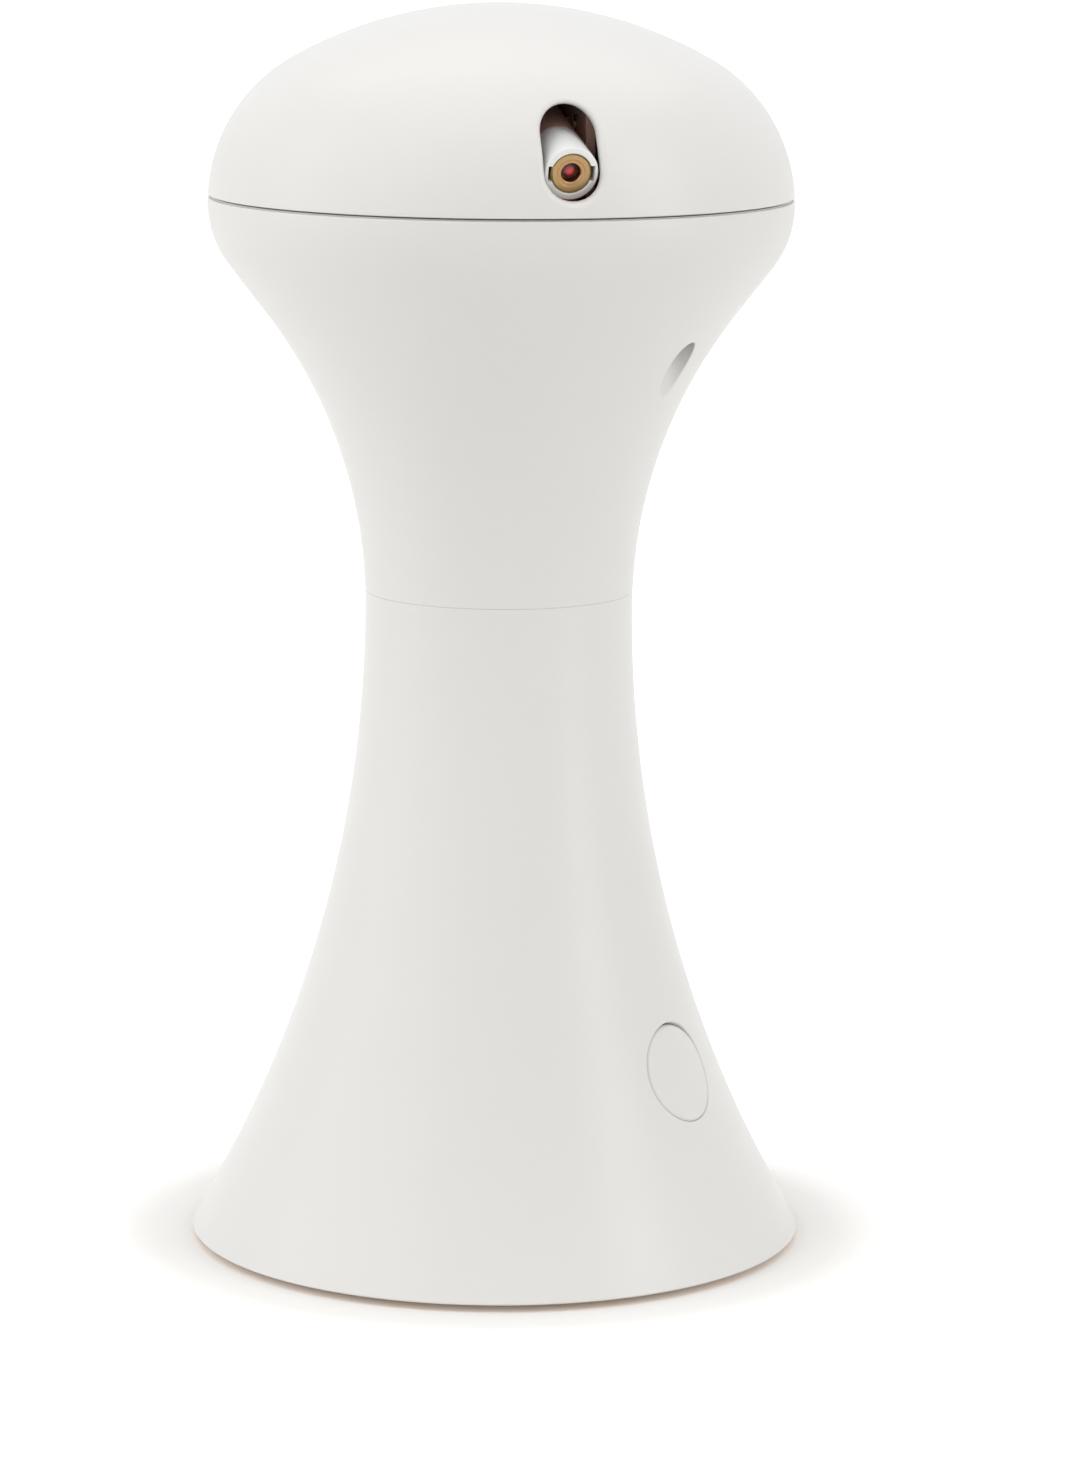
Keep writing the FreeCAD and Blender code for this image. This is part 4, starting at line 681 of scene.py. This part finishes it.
def stand_skin():
    skin = Skin()
    inner = column.inside(CORE)
    rows_in_window = 14
    low, high, half = BUTTON_HEIGHT - 12, BUTTON_HEIGHT + 12, 8
    start, centre, lean = foot_corner(column, EDGE, 1)
    path = fillet(*centre, EDGE, -90, lean, 5)
    path += face_rows(column, spread(start, low, 2.4)[1:])
    first = len(path) - 1
    path += face_rows(column, evenly(low, high, rows_in_window)[1:])
    last = len(path) - 1
    path += face_rows(column, spread(high, NECK, 3.2)[1:] + [SEAM - SEAM_EDGE - 0.6])
    path += fillet(NECK_RADIUS - SEAM_EDGE, SEAM - SEAM_EDGE, SEAM_EDGE, 0, 90)
    path += fillet(NECK_RADIUS - CORE + 0.2, SEAM - 0.2, 0.2, 90, 180)
    path += face_rows(inner, [NECK] + spread(NECK, high, 4)[1:], -1)
    inner_first = len(path) - 1
    path += face_rows(inner, evenly(high, low, rows_in_window)[1:], -1)
    inner_last = len(path) - 1
    end, centre, lean = foot_corner(inner, INNER_EDGE, -1)
    path += face_rows(inner, spread(low, end, 4)[1:], -1)
    path += fillet(*centre, INNER_EDGE, 180 + lean, 270, 3)[1:]
    outer_window, inner_window = (first, last, 0, half), (inner_first, inner_last, 0, half)
    rows = turn_path(skin, path, True, (outer_window, inner_window))
    hole = Hole(*button_frame(), BUTTON_HOLE)
    _, wall = sunk_edge(skin, window_loop(rows, outer_window), hole, column, 0.45, (-8, 6), 4, 6)
    loop = window_loop(rows, inner_window)
    _, back = sunk_edge(skin, match(skin, loop, wall, hole), hole, inner, 0.2, (-12, 4), 3, 3, -1)
    skin.bridge(wall, back)
    origin, across, upward, out = (Vector(item) for item in button_frame())
    for way in (-1, 1):
        post = Hole(origin + across * (way * BOARD_POST), across, upward, out, 2.6)
        stud(skin, post, column.inside(1.8), (-10, 4), foot=-12.4, bore=1.05, depth=5.0)
    boss = rounded([(0, 15.4, 0), (1.55, 15.4, 0.05), (1.55, 4.4, 0.2), (3.5, 4.4, 0.25), (3.5, 16.4, 0.4),
                    (0, 16.4, 0)])
    for place in quarters(-SIDE, (0, -SCREW_RING, 0)):
        skin.chain(skin.turn(boss, 40, place))
    return skin


def button_skin():
    """The button's cap: its face follows the stand's and rounds over at its edge; flange and stem lie behind."""
    skin = Skin()
    hole = Hole(*button_frame(), BUTTON_RADIUS)
    rays = round_rays(96)
    rows = rounded([(0, -7, 0), (3, -7, 0.3), (3, -2.6, 0.3), (8, -2.6, 0.4), (8, -5.6, 0.2), (11.6, -5.6, 0.2),
                    (11.6, -4.4, 0.2), (BUTTON_RADIUS, -4.4, 0.1), (BUTTON_RADIUS, -3.4, 0)])
    loops = hole.rings(skin, rays, rows)
    edge, turns = 0.8, 8

    def face_point(ray, distance, drop, angle):
        """A point of the face, which lies deeper towards its top, and of the edge that rounds it over."""
        point, normal = hole.surface(ray, distance, column, -8, 6)
        rise = (ray[2] * distance / BUTTON_RADIUS + 1) / 2
        normal = normal.normalized() + hole.v * (4 * BUTTON_SINK * rise ** 7 / BUTTON_RADIUS)
        point = point - hole.w * (drop + BUTTON_SINK * rise ** 8)
        point = point + hole.u * BUTTON_SHIFT[0] + hole.v * BUTTON_SHIFT[1]
        return skin.vertex(point, normal * math.cos(angle) + hole.outward(ray) * math.sin(angle))

    for step in range(turns, -1, -1):
        angle = math.pi / 2 * step / turns
        reach_out, drop = BUTTON_RADIUS - edge + edge * math.sin(angle), edge * (1 - math.cos(angle))
        loops.append([face_point(ray, reach_out, drop, angle) for ray in rays])
    for distance in (8.2, 7.0, 5.5, 4.0, 2.0):
        loops.append([face_point(ray, distance, 0, 0) for ray in rays])
    loops.append(face_point(rays[0], 0.001, 0, 0))
    skin.chain(loops)
    return skin


# ---- funnel

WELL_RING, WELL_RADIUS, WELL_TUBE, WELL_FLOOR, WELL_TOP, SCREW_HOLE = 41.4, 3.3, 5.35, 199.0, 201.5, 1.95
WELL_LIP = 0.4                  # how far a well's edge is rounded over
BORE, SPIGOT, SPIGOT_FOOT = 22.4, 24.2, 127.5
RIDGE_IN, RIDGE_WIDTH, RIDGE_RISE, RIDGE_EDGE = 0.85, 0.6, 0.24, 0.1


def funnel_skin():
    skin = Skin()
    inner = funnel.inside(WALL)
    rows_in_window, half, margin = 12, 5, 1.3
    outer_low, outer_high = (height_at(funnel, WELL_RING + way * (WELL_RADIUS + WELL_LIP + margin), 150, 212)
                             for way in (-1, 1))
    inner_low, inner_high = (height_at(inner, WELL_RING + way * (WELL_TUBE + margin), 150, 212) for way in (-1, 1))
    path = fillet(NECK_RADIUS - SEAM_EDGE + 0.04, SEAM + SEAM_EDGE, SEAM_EDGE, -90, 0)
    path += face_rows(funnel, spread(SEAM + 0.8, outer_low, 3.0))
    first = len(path) - 1
    path += face_rows(funnel, evenly(outer_low, outer_high, rows_in_window)[1:])
    last = len(path) - 1
    path += face_rows(funnel, spread(outer_high, LIP_TOP - EDGE - 0.2, 1.4)[1:])
    path += fillet(HEAD_RADIUS - EDGE, LIP_TOP - EDGE, EDGE, 0, 90)
    ridge, back, crest = HEAD_RADIUS - RIDGE_IN, HEAD_RADIUS - RIDGE_IN - RIDGE_WIDTH, LIP_TOP + RIDGE_RISE
    path.append((ridge, LIP_TOP, 0.7071, 0.7071))
    path += fillet(ridge - RIDGE_EDGE, crest - RIDGE_EDGE, RIDGE_EDGE, 0, 90)
    path += fillet(back + RIDGE_EDGE, crest - RIDGE_EDGE, RIDGE_EDGE, 90, 180)
    path.append((back, LIP_TOP, -0.7071, 0.7071))
    path += fillet(HEAD_RADIUS - WALL + EDGE, LIP_TOP - EDGE, EDGE, 90, 180)
    path += face_rows(inner, spread(LIP_TOP - 0.9, inner_high, 2.0), -1)
    inner_first = len(path) - 1
    path += face_rows(inner, evenly(inner_high, inner_low, rows_in_window)[1:], -1)
    inner_last = len(path) - 1
    path += face_rows(inner, spread(inner_low, 137.2, 4.0)[1:], -1)
    seat = NECK_RADIUS - WALL
    path += rounded([(seat, 137, 0), (seat, 136.3, 0.3), (BORE, 136.3, 0.3), (BORE, SPIGOT_FOOT, 0.3),
                     (SPIGOT, SPIGOT_FOOT, 0.4), (SPIGOT, SEAM, 0.1), (NECK_RADIUS - 0.6, SEAM, 0)])[1:]
    windows, inner_windows = both_windows(first, last, half), both_windows(inner_first, inner_last, half)
    rows = turn_path(skin, path, True, windows + inner_windows)
    tube = rounded([(WELL_TUBE, 195.5, 0), (WELL_TUBE, WELL_TOP, 0.3), (SCREW_HOLE, WELL_TOP, 0.15),
                    (SCREW_HOLE, WELL_FLOOR, 0.15), (WELL_RADIUS, WELL_FLOOR, 0.5), (WELL_RADIUS, 196, 0)])
    for way, window, inner_window in zip((-1, 1), windows, inner_windows):
        hole = Hole((0, way * WELL_RING, 0), (1, 0, 0), (0, 1, 0), (0, 0, -1), WELL_RADIUS)
        rays, wall = sunk_edge(skin, window_loop(rows, window), hole, funnel, WELL_LIP, (-214, -134.5), 3, 6)
        tube_hole = Hole(hole.origin, hole.u, hole.v, hole.w, WELL_TUBE)
        loop = match(skin, window_loop(rows, inner_window), wall, hole)
        _, back = sunk_edge(skin, loop, tube_hole, inner, 0.25, (-213, -137), 3, 0, -1)
        rows_along = [(distance, -z, normal_r, -normal_z) for distance, z, normal_r, normal_z in tube]
        loops = tube_hole.rings(skin, rays, rows_along)
        skin.chain([back] + loops + [wall])
    return skin


# ---- dome

SLOT_RADIUS, SLOT_FOOT, SLOT_HEAD, SLOT_LIP = 5.65, 217.7, 235.9, 1.3
BOSS_RING = 42.0


def crown_rows(depth, flip):
    """Rows over the dome's crown, from where it meets the shoulder up to its top."""
    rows = fillet(0, TOP - crown, crown - depth, math.degrees(meet), 90, 12)
    return [(r, z, flip * normal_r, flip * normal_z) for r, z, normal_r, normal_z in rows]


def dome_skin():
    skin = Skin()
    inner = dome.inside(WALL)
    foot_r = dome.at(DOME_FOOT + EDGE)[0]
    inner_foot = inner.at(DOME_FOOT)[0]
    window_foot, window_head, inner_head, rows_in_window, half = DOME_FOOT + 0.75, 240.0, 238.5, 19, 5
    outer = fillet(foot_r - EDGE, DOME_FOOT + EDGE, EDGE, -90, 0)
    first = len(outer)
    outer += face_rows(dome, evenly(window_foot, window_head, rows_in_window))
    last = len(outer) - 1
    outer += face_rows(dome, spread(window_head, dome.parts[0].ends(0)[1], 1.2)[1:-1]) + crown_rows(0, 1)
    back = crown_rows(WALL, -1)[::-1]
    back += face_rows(inner, spread(inner.parts[0].ends(WALL)[1], inner_head, 1.2)[1:], -1)
    inner_first = len(back) - 1
    back += face_rows(inner, evenly(inner_head, window_foot, rows_in_window)[1:], -1)
    inner_last = len(back) - 1
    windows, inner_windows = both_windows(first, last, half), both_windows(inner_first, inner_last, half)
    rows = turn_path(skin, outer, False, windows)
    inner_rows = turn_path(skin, back, False, inner_windows)
    rim = columns_of(skin, [(inner_foot + EDGE, DOME_FOOT, 0, -1), (inner_foot, DOME_FOOT + EDGE, -1, 0)])
    skin.chain([rows[0], *rim, inner_rows[-1]])
    straight = (SLOT_HEAD - SLOT_FOOT) / 2 - SLOT_RADIUS
    for way, window, inner_window in zip((-1, 1), windows, inner_windows):
        hole = Hole((0, 0, (SLOT_FOOT + SLOT_HEAD) / 2), (-way, 0, 0), (0, 0, 1), (0, way, 0), SLOT_RADIUS, straight)
        _, wall = sunk_edge(skin, window_loop(rows, window), hole, dome, SLOT_LIP, (0, 80), 4, 8)
        loop = match(skin, window_loop(inner_rows, inner_window), wall, hole)
        _, inside = sunk_edge(skin, loop, hole, inner, 0.2, (0, 80), 3, 2, -1)
        skin.bridge(wall, inside)
    for way in (-1, 1):
        post = Hole((way * BOSS_RING, 0, 0), (1, 0, 0), (0, 1, 0), (0, 0, 1), 3.6)
        stud(skin, post, dome.inside(1.2), (218, 254), foot=215.0, bore=1.55, depth=12.0)
    return skin


# ---- lasers

TUBE, TUBE_BORE, MOUTH, JOINT, CRADLE_BACK = 5.3, 4.05, 26.3, 14.3, -7.0
MODULE, MODULE_FACE, MODULE_BACK, APERTURE = 4.0, 26.0, 2.0, 1.85
GROOVE_REACH, GROOVE_HALF, GROOVE_DEPTH = 4.6, 1.5, 5.0


def grooved(angle):
    """The sleeve's mouth in polar form: its bore with a groove at each side."""
    c, s = abs(math.cos(angle)), abs(math.sin(angle))
    if s * GROOVE_REACH <= c * GROOVE_HALF:
        return GROOVE_REACH / c
    return max(TUBE_BORE, GROOVE_HALF / s) if s * TUBE_BORE < GROOVE_HALF else TUBE_BORE


def sleeve_skin():
    """The white sleeve: a tube whose mouth has a groove at each side of the bore."""
    skin = Skin()
    corners = [angle for corner in (math.atan2(GROOVE_HALF, GROOVE_REACH), math.asin(GROOVE_HALF / TUBE_BORE))
               for angle in (corner, -corner, math.pi - corner, math.pi + corner)]
    bevel, edge = 0.12, 0.3
    rows = [(TUBE, JOINT + edge), (TUBE - 0.1, JOINT + 0.1), (TUBE - edge, JOINT), (TUBE_BORE, JOINT),
            (TUBE_BORE, MOUTH - GROOVE_DEPTH - 0.2), (grooved, MOUTH - GROOVE_DEPTH), (grooved, MOUTH - bevel),
            (lambda angle: grooved(angle) + bevel, MOUTH)]
    rows += [row[:2] for row in fillet(TUBE - edge, MOUTH - edge, edge, 90, 0)]
    angles = angles_with(corners, 72)
    skin.chain([skin.ring(angles, radius, z) for radius, z in rows], True)
    return skin


def lathed(rows, count, places=(None,)):
    """A skin turned from the rows of an outline, once at each place."""
    skin = Skin()
    for place in places:
        skin.chain(skin.turn(rows, count, place))
    return skin


def cradle_skin():
    """The dark cradle behind the sleeve, with a trunnion at each side."""
    skin = Skin()
    ring = rounded([(TUBE_BORE, CRADLE_BACK, 0.2), (TUBE, CRADLE_BACK, 0.5), (TUBE, JOINT, 0.2),
                    (TUBE_BORE, JOINT, 0.1)], True)
    skin.chain(skin.turn(ring, 72), True)
    pin = rounded([(0, 4.5, 0), (2.0, 4.5, 0.1), (2.0, 7.6, 0.3), (0, 7.6, 0)])
    for way in (-1, 1):
        skin.chain(skin.turn(pin, 40, Matrix.Rotation(way * math.pi / 2, 4, "Y")))
    return skin


def module_skin():
    """The brass module: a chamfered barrel, a faced front with a fine step, and the aperture's bore."""
    step, bottom = MODULE_FACE - 0.08, MODULE_FACE - 3.0
    return lathed(rounded([(0, MODULE_BACK, 0), (MODULE, MODULE_BACK, 0.3), (MODULE, MODULE_FACE - 0.3, 0.08),
                           (MODULE - 0.35, MODULE_FACE, 0.08), (2.75, MODULE_FACE, 0.05), (2.65, step, 0.05),
                           (APERTURE + 0.2, step, 0.08), (APERTURE, MODULE_FACE - 0.28, 0.08),
                           (APERTURE, bottom, 0.1), (0, bottom, 0)]), 96)


def lens_skin():
    """The lens: a small domed glass in the aperture."""
    radius, rise, edge_z, back = 1.8, 0.4, 24.2, 23.4
    curve = (radius ** 2 + rise ** 2) / (2 * rise)
    rows = rounded([(0, back, 0), (radius, back, 0.1), (radius, edge_z, 0)])
    rows += fillet(0, edge_z + rise - curve, curve, math.degrees(math.acos(radius / curve)), 90, 6)
    return lathed(rows, 64)


def stop_skin():
    """The tilt stop on a bracket's cheek: a round boss with a broken edge."""
    return lathed(rounded([(0, -0.3, 0), (1.3, -0.3, 0.05), (1.3, 0.45, 0.2), (0, 0.45, 0)]), 40)


def pin_skin():
    """The dark pin beside the tilt stop: a headed pin with a rounded head."""
    return lathed(rounded([(0, -0.4, 0), (0.45, -0.4, 0.05), (0.45, 0.1, 0.05), (0.7, 0.1, 0.05), (0.7, 0.55, 0.25),
                           (0, 0.55, 0)]), 32)


def foot_skin():
    """The four rubber feet: pads with a rounded tread edge and a shallow dish."""
    pad = rounded([(0, 0.25, 0), (2.4, 0.25, 0.2), (2.7, 0, 0.2), (4.5, 0, 0.7), (4.5, 2.0, 0.1), (0, 2.0, 0)],
                  False, 5)
    return lathed(pad, 64, quarters(math.pi / 4, (FOOT_RING, 0, 0)))


def cross(angle, half, reach):
    """A cross in polar form: arms of a half width out to a reach."""
    c, s = abs(math.cos(angle)), abs(math.sin(angle))
    c, s = max(c, s), min(c, s)
    return reach / c if s * reach <= half * c else half / s


def plate_screw_skin():
    """The four screws of the bottom plate, with a cross recess in each head."""
    skin = Skin()
    half, reach, edge = 0.36, 1.5, 0.05
    corner = math.atan2(half, reach)
    angles = angles_with([quarter * math.pi / 2 + way * corner for quarter in range(4) for way in (-1, 1)], 48)
    depth, foot = 1.1, 12.5
    rows = [(lambda angle: 0.55 * cross(angle, half, reach), depth), (lambda angle: cross(angle, half, reach), 0.06),
            (lambda angle: cross(angle, half + edge, reach + 0.06), 0), (2.45, 0), (2.62, 0.07), (2.7, 0.25),
            (2.7, 1.4), (2.6, 1.5), (1.5, 1.5), (1.5, 11.6), (0.6, foot)]
    for place in quarters(0, (0, -SCREW_RING, 2.0)):
        skin.chain([skin.vertex(place @ Vector((0, 0, depth)))]
                   + [skin.ring(angles, radius, z, place) for radius, z in rows]
                   + [skin.vertex(place @ Vector((0, 0, foot)))])
    return skin


# ---- pieces

STOP_PLACE = (5.8, -34.9, 231.5)     # on a bracket's cheek, beside the laser
PIN_OFFSET = (0.9, -1.9)             # from the stop to the pin, up and forward

stand_skin().piece("stand_shell", "shell_white", "stand", ("base_shell",), None, SIDE)
button_skin().piece("button_cap", "button_white", "button", ("push_button",), None, SIDE)
funnel_skin().piece("funnel_shell", "shell_white", "stand", ("upper_shell",), None, SIDE)
dome_skin().piece("dome_shell", "shell_white", "head", ("head_dome",), None, HEAD)
for side_name, facing in (("front", 0), ("rear", math.pi)):
    for make, name, slot, node in ((sleeve_skin, "sleeve_", "tube_white", "laser_tube_"),
                                   (cradle_skin, "cradle_", "deck_brown", "laser_cradle_"),
                                   (module_skin, "module_", "module_brass", "laser_module_"),
                                   (lens_skin, "lens_", "lens_glass", "laser_lens_")):
        make().piece(name + side_name, slot, "laser_" + side_name, (node + side_name,), beam_place(facing))
    soften("bracket_" + side_name, "laser_bracket_" + side_name, "head", 0.3)
    cheek = (turned(HEAD + facing) @ Matrix.Translation(Vector(STOP_PLACE) * MM)
             @ Matrix.Rotation(-math.pi / 2, 4, "Y"))
    stop_skin().piece("tilt_stop_" + side_name, "deck_brown", "head", (), cheek)
    beside = cheek @ Matrix.Translation((PIN_OFFSET[0] * MM, PIN_OFFSET[1] * MM, 0))
    pin_skin().piece("stop_pin_" + side_name, "dark_plastic", "head", (), beside)
foot_skin().piece("foot_pads", "foot_rubber", "stand", ("rubber_feet",))
plate_screw_skin().piece("plate_screws", "screw_steel", "stand", ("bottom_screws",))
soften("foot_plate", "bottom_plate", "stand", 0.3)
soften("cell_door", "battery_door", "door", 0.35)

# ---- stage, lamps and camera


FRONT_LIGHT, ROOM_LIGHT = (0.57, 0.545, 0.515), (0.53, 0.53, 0.53)
FLOOR_SIZE = 6.0                # metres from the middle to each edge
# What the floor gives off by itself, by the distance from the object's axis in shares of 0.1 m: none under the foot,
# a painted warm glow in the contact line at the skirt's edge, then a ring of painted shade where it stays low, rising
# towards white
FLOOR_LIFT = ((0.50, (0, 0, 0)), (0.60, (0.19, 0.13, 0.09)), (0.626, (0.19, 0.13, 0.09)), (0.64, (0.03, 0.03, 0.03)),
              (0.71, (0.06, 0.06, 0.06)), (0.80, (0.2, 0.2, 0.2)), (0.92, (0.35, 0.35, 0.35)))


def seen_share(tree):
    """1 for the rays of the camera and those that reflections and glass send on, 0 for the rest."""
    rays = add_node(tree, "LightPath").outputs
    seen = combine(tree, "ADD", rays["Is Camera Ray"], rays["Is Glossy Ray"], True)
    return combine(tree, "ADD", seen, rays["Is Transmission Ray"], True)


def floor_material():
    """A pale floor that goes to white away from the object and keeps the object's shadow near it; its own glow is
    also held low in a ring round the foot as painted shade, with a painted warm glow in the contact line.
    """
    surface = Surface("floor", (0.865, 0.857, 0.842), 0.9, Specular_IOR_Level=0.1)
    surface.tint(surface.noise(3, 2), (0.86, 0.852, 0.836))
    tree = surface.tree
    away = surface.radius()
    # painted shade and glow: the ramp holds the floor's glow low in a ring round the foot and paints a warm glow into
    # the contact line
    ramp = add_node(tree, "ValToRGB", None, {0: map_range(tree, away, 0.0, 0.1, 0.0, 1.0)})
    stops = ramp.color_ramp.elements
    for index, (place, colour) in enumerate(FLOOR_LIFT):
        stop = stops[index] if index < 2 else stops.new(place)
        stop.position, stop.color = place, (*colour, 1)
    surface.feed("Emission Color", ramp.outputs[0])
    lift = map_range(tree, away, 0.8, 4.5, 1.0, 1.9)
    surface.feed("Emission Strength", combine(tree, "MULTIPLY", lift, seen_share(tree)))
    return surface.material


def build_stage():
    mesh = bpy.data.meshes.new("floor")
    corners = [(x * FLOOR_SIZE, y * FLOOR_SIZE, 0) for x, y in ((-1, -1), (1, -1), (1, 1), (-1, 1))]
    mesh.from_pydata(corners, [], [(0, 1, 2, 3)])
    mesh.materials.append(floor_material())
    new_object("floor", mesh)


def build_world():
    """White to the camera and in reflections; a soft light on the object, brighter and warmer from the front."""
    world = bpy.data.worlds.new("studio")
    bpy.context.scene.world = world
    world.use_nodes = True
    tree = world.node_tree
    generated = add_node(tree, "TexCoord").outputs["Generated"]
    depth = add_node(tree, "SeparateXYZ", None, {0: generated}).outputs["Y"]
    room = colour_mix(tree, map_range(tree, depth, -1.0, -0.3, 0.0, 1.0), FRONT_LIGHT, ROOM_LIGHT)
    lit = add_node(tree, "Background", {"Strength": 1.0}, {"Color": room}).outputs[0]
    plain = add_node(tree, "Background", {"Color": (1, 1, 1, 1), "Strength": 1.0}).outputs[0]
    choose = add_node(tree, "MixShader", None, {0: seen_share(tree), 1: lit, 2: plain})
    tree.links.new(choose.outputs[0], tree.nodes["World Output"].inputs["Surface"])


def lamp(name, place, aim, size, level):
    """A softbox aimed at a point, of a width and height in metres and a brightness."""
    data = bpy.data.lights.new(name, "AREA")
    data.shape = "RECTANGLE"
    data.size, data.size_y = size
    data.energy = level * math.pi * size[0] * size[1]
    item = new_object(name, data)
    item.location = place
    item.rotation_euler = (Vector(aim) - Vector(place)).to_track_quat("-Z", "Y").to_euler()


def build_camera():
    """The photograph's camera: its place, how far it leans down, turns and rolls, in radians, and its lens."""
    place = Vector((0, -1.0615, 0.2988))
    pitch, yaw, roll = 0.181, 0.0086, -0.0081
    focal, height, sensor = 5266.7, 1467, 36     # pixels, pixels, millimetres
    ahead = Vector((math.sin(yaw) * math.cos(pitch), math.cos(yaw) * math.cos(pitch), -math.sin(pitch)))
    right = Vector((math.cos(yaw), -math.sin(yaw), 0))
    upward = Vector((math.sin(yaw) * math.sin(pitch), math.cos(yaw) * math.sin(pitch), math.cos(pitch)))
    x_axis = right * math.cos(roll) - upward * math.sin(roll)
    y_axis = right * math.sin(roll) + upward * math.cos(roll)
    data = bpy.data.cameras.new("camera")
    data.sensor_width = sensor
    data.lens = focal / height * sensor
    data.clip_start, data.clip_end = 0.01, 50
    item = new_object("camera", data)
    rotation = Matrix((x_axis, y_axis, -ahead)).transposed().to_4x4()
    item.matrix_world = Matrix.Translation(place) @ rotation
    bpy.context.scene.camera = item


build_stage()
build_world()
lamp("key_left", (-1.4, -0.6, 0.6), (0, 0, 0.12), (1.9, 2.0), 1.08)
lamp("band_right", (1.25, -0.6, 0.5), (0, 0, 0.12), (0.45, 1.5), 2.8)
lamp("overhead", (0, 0.1, 1.7), (0, 0.1, 0), (2.4, 2.4), 0.9)
build_camera()
bpy.context.scene.view_settings.view_transform = "Standard"
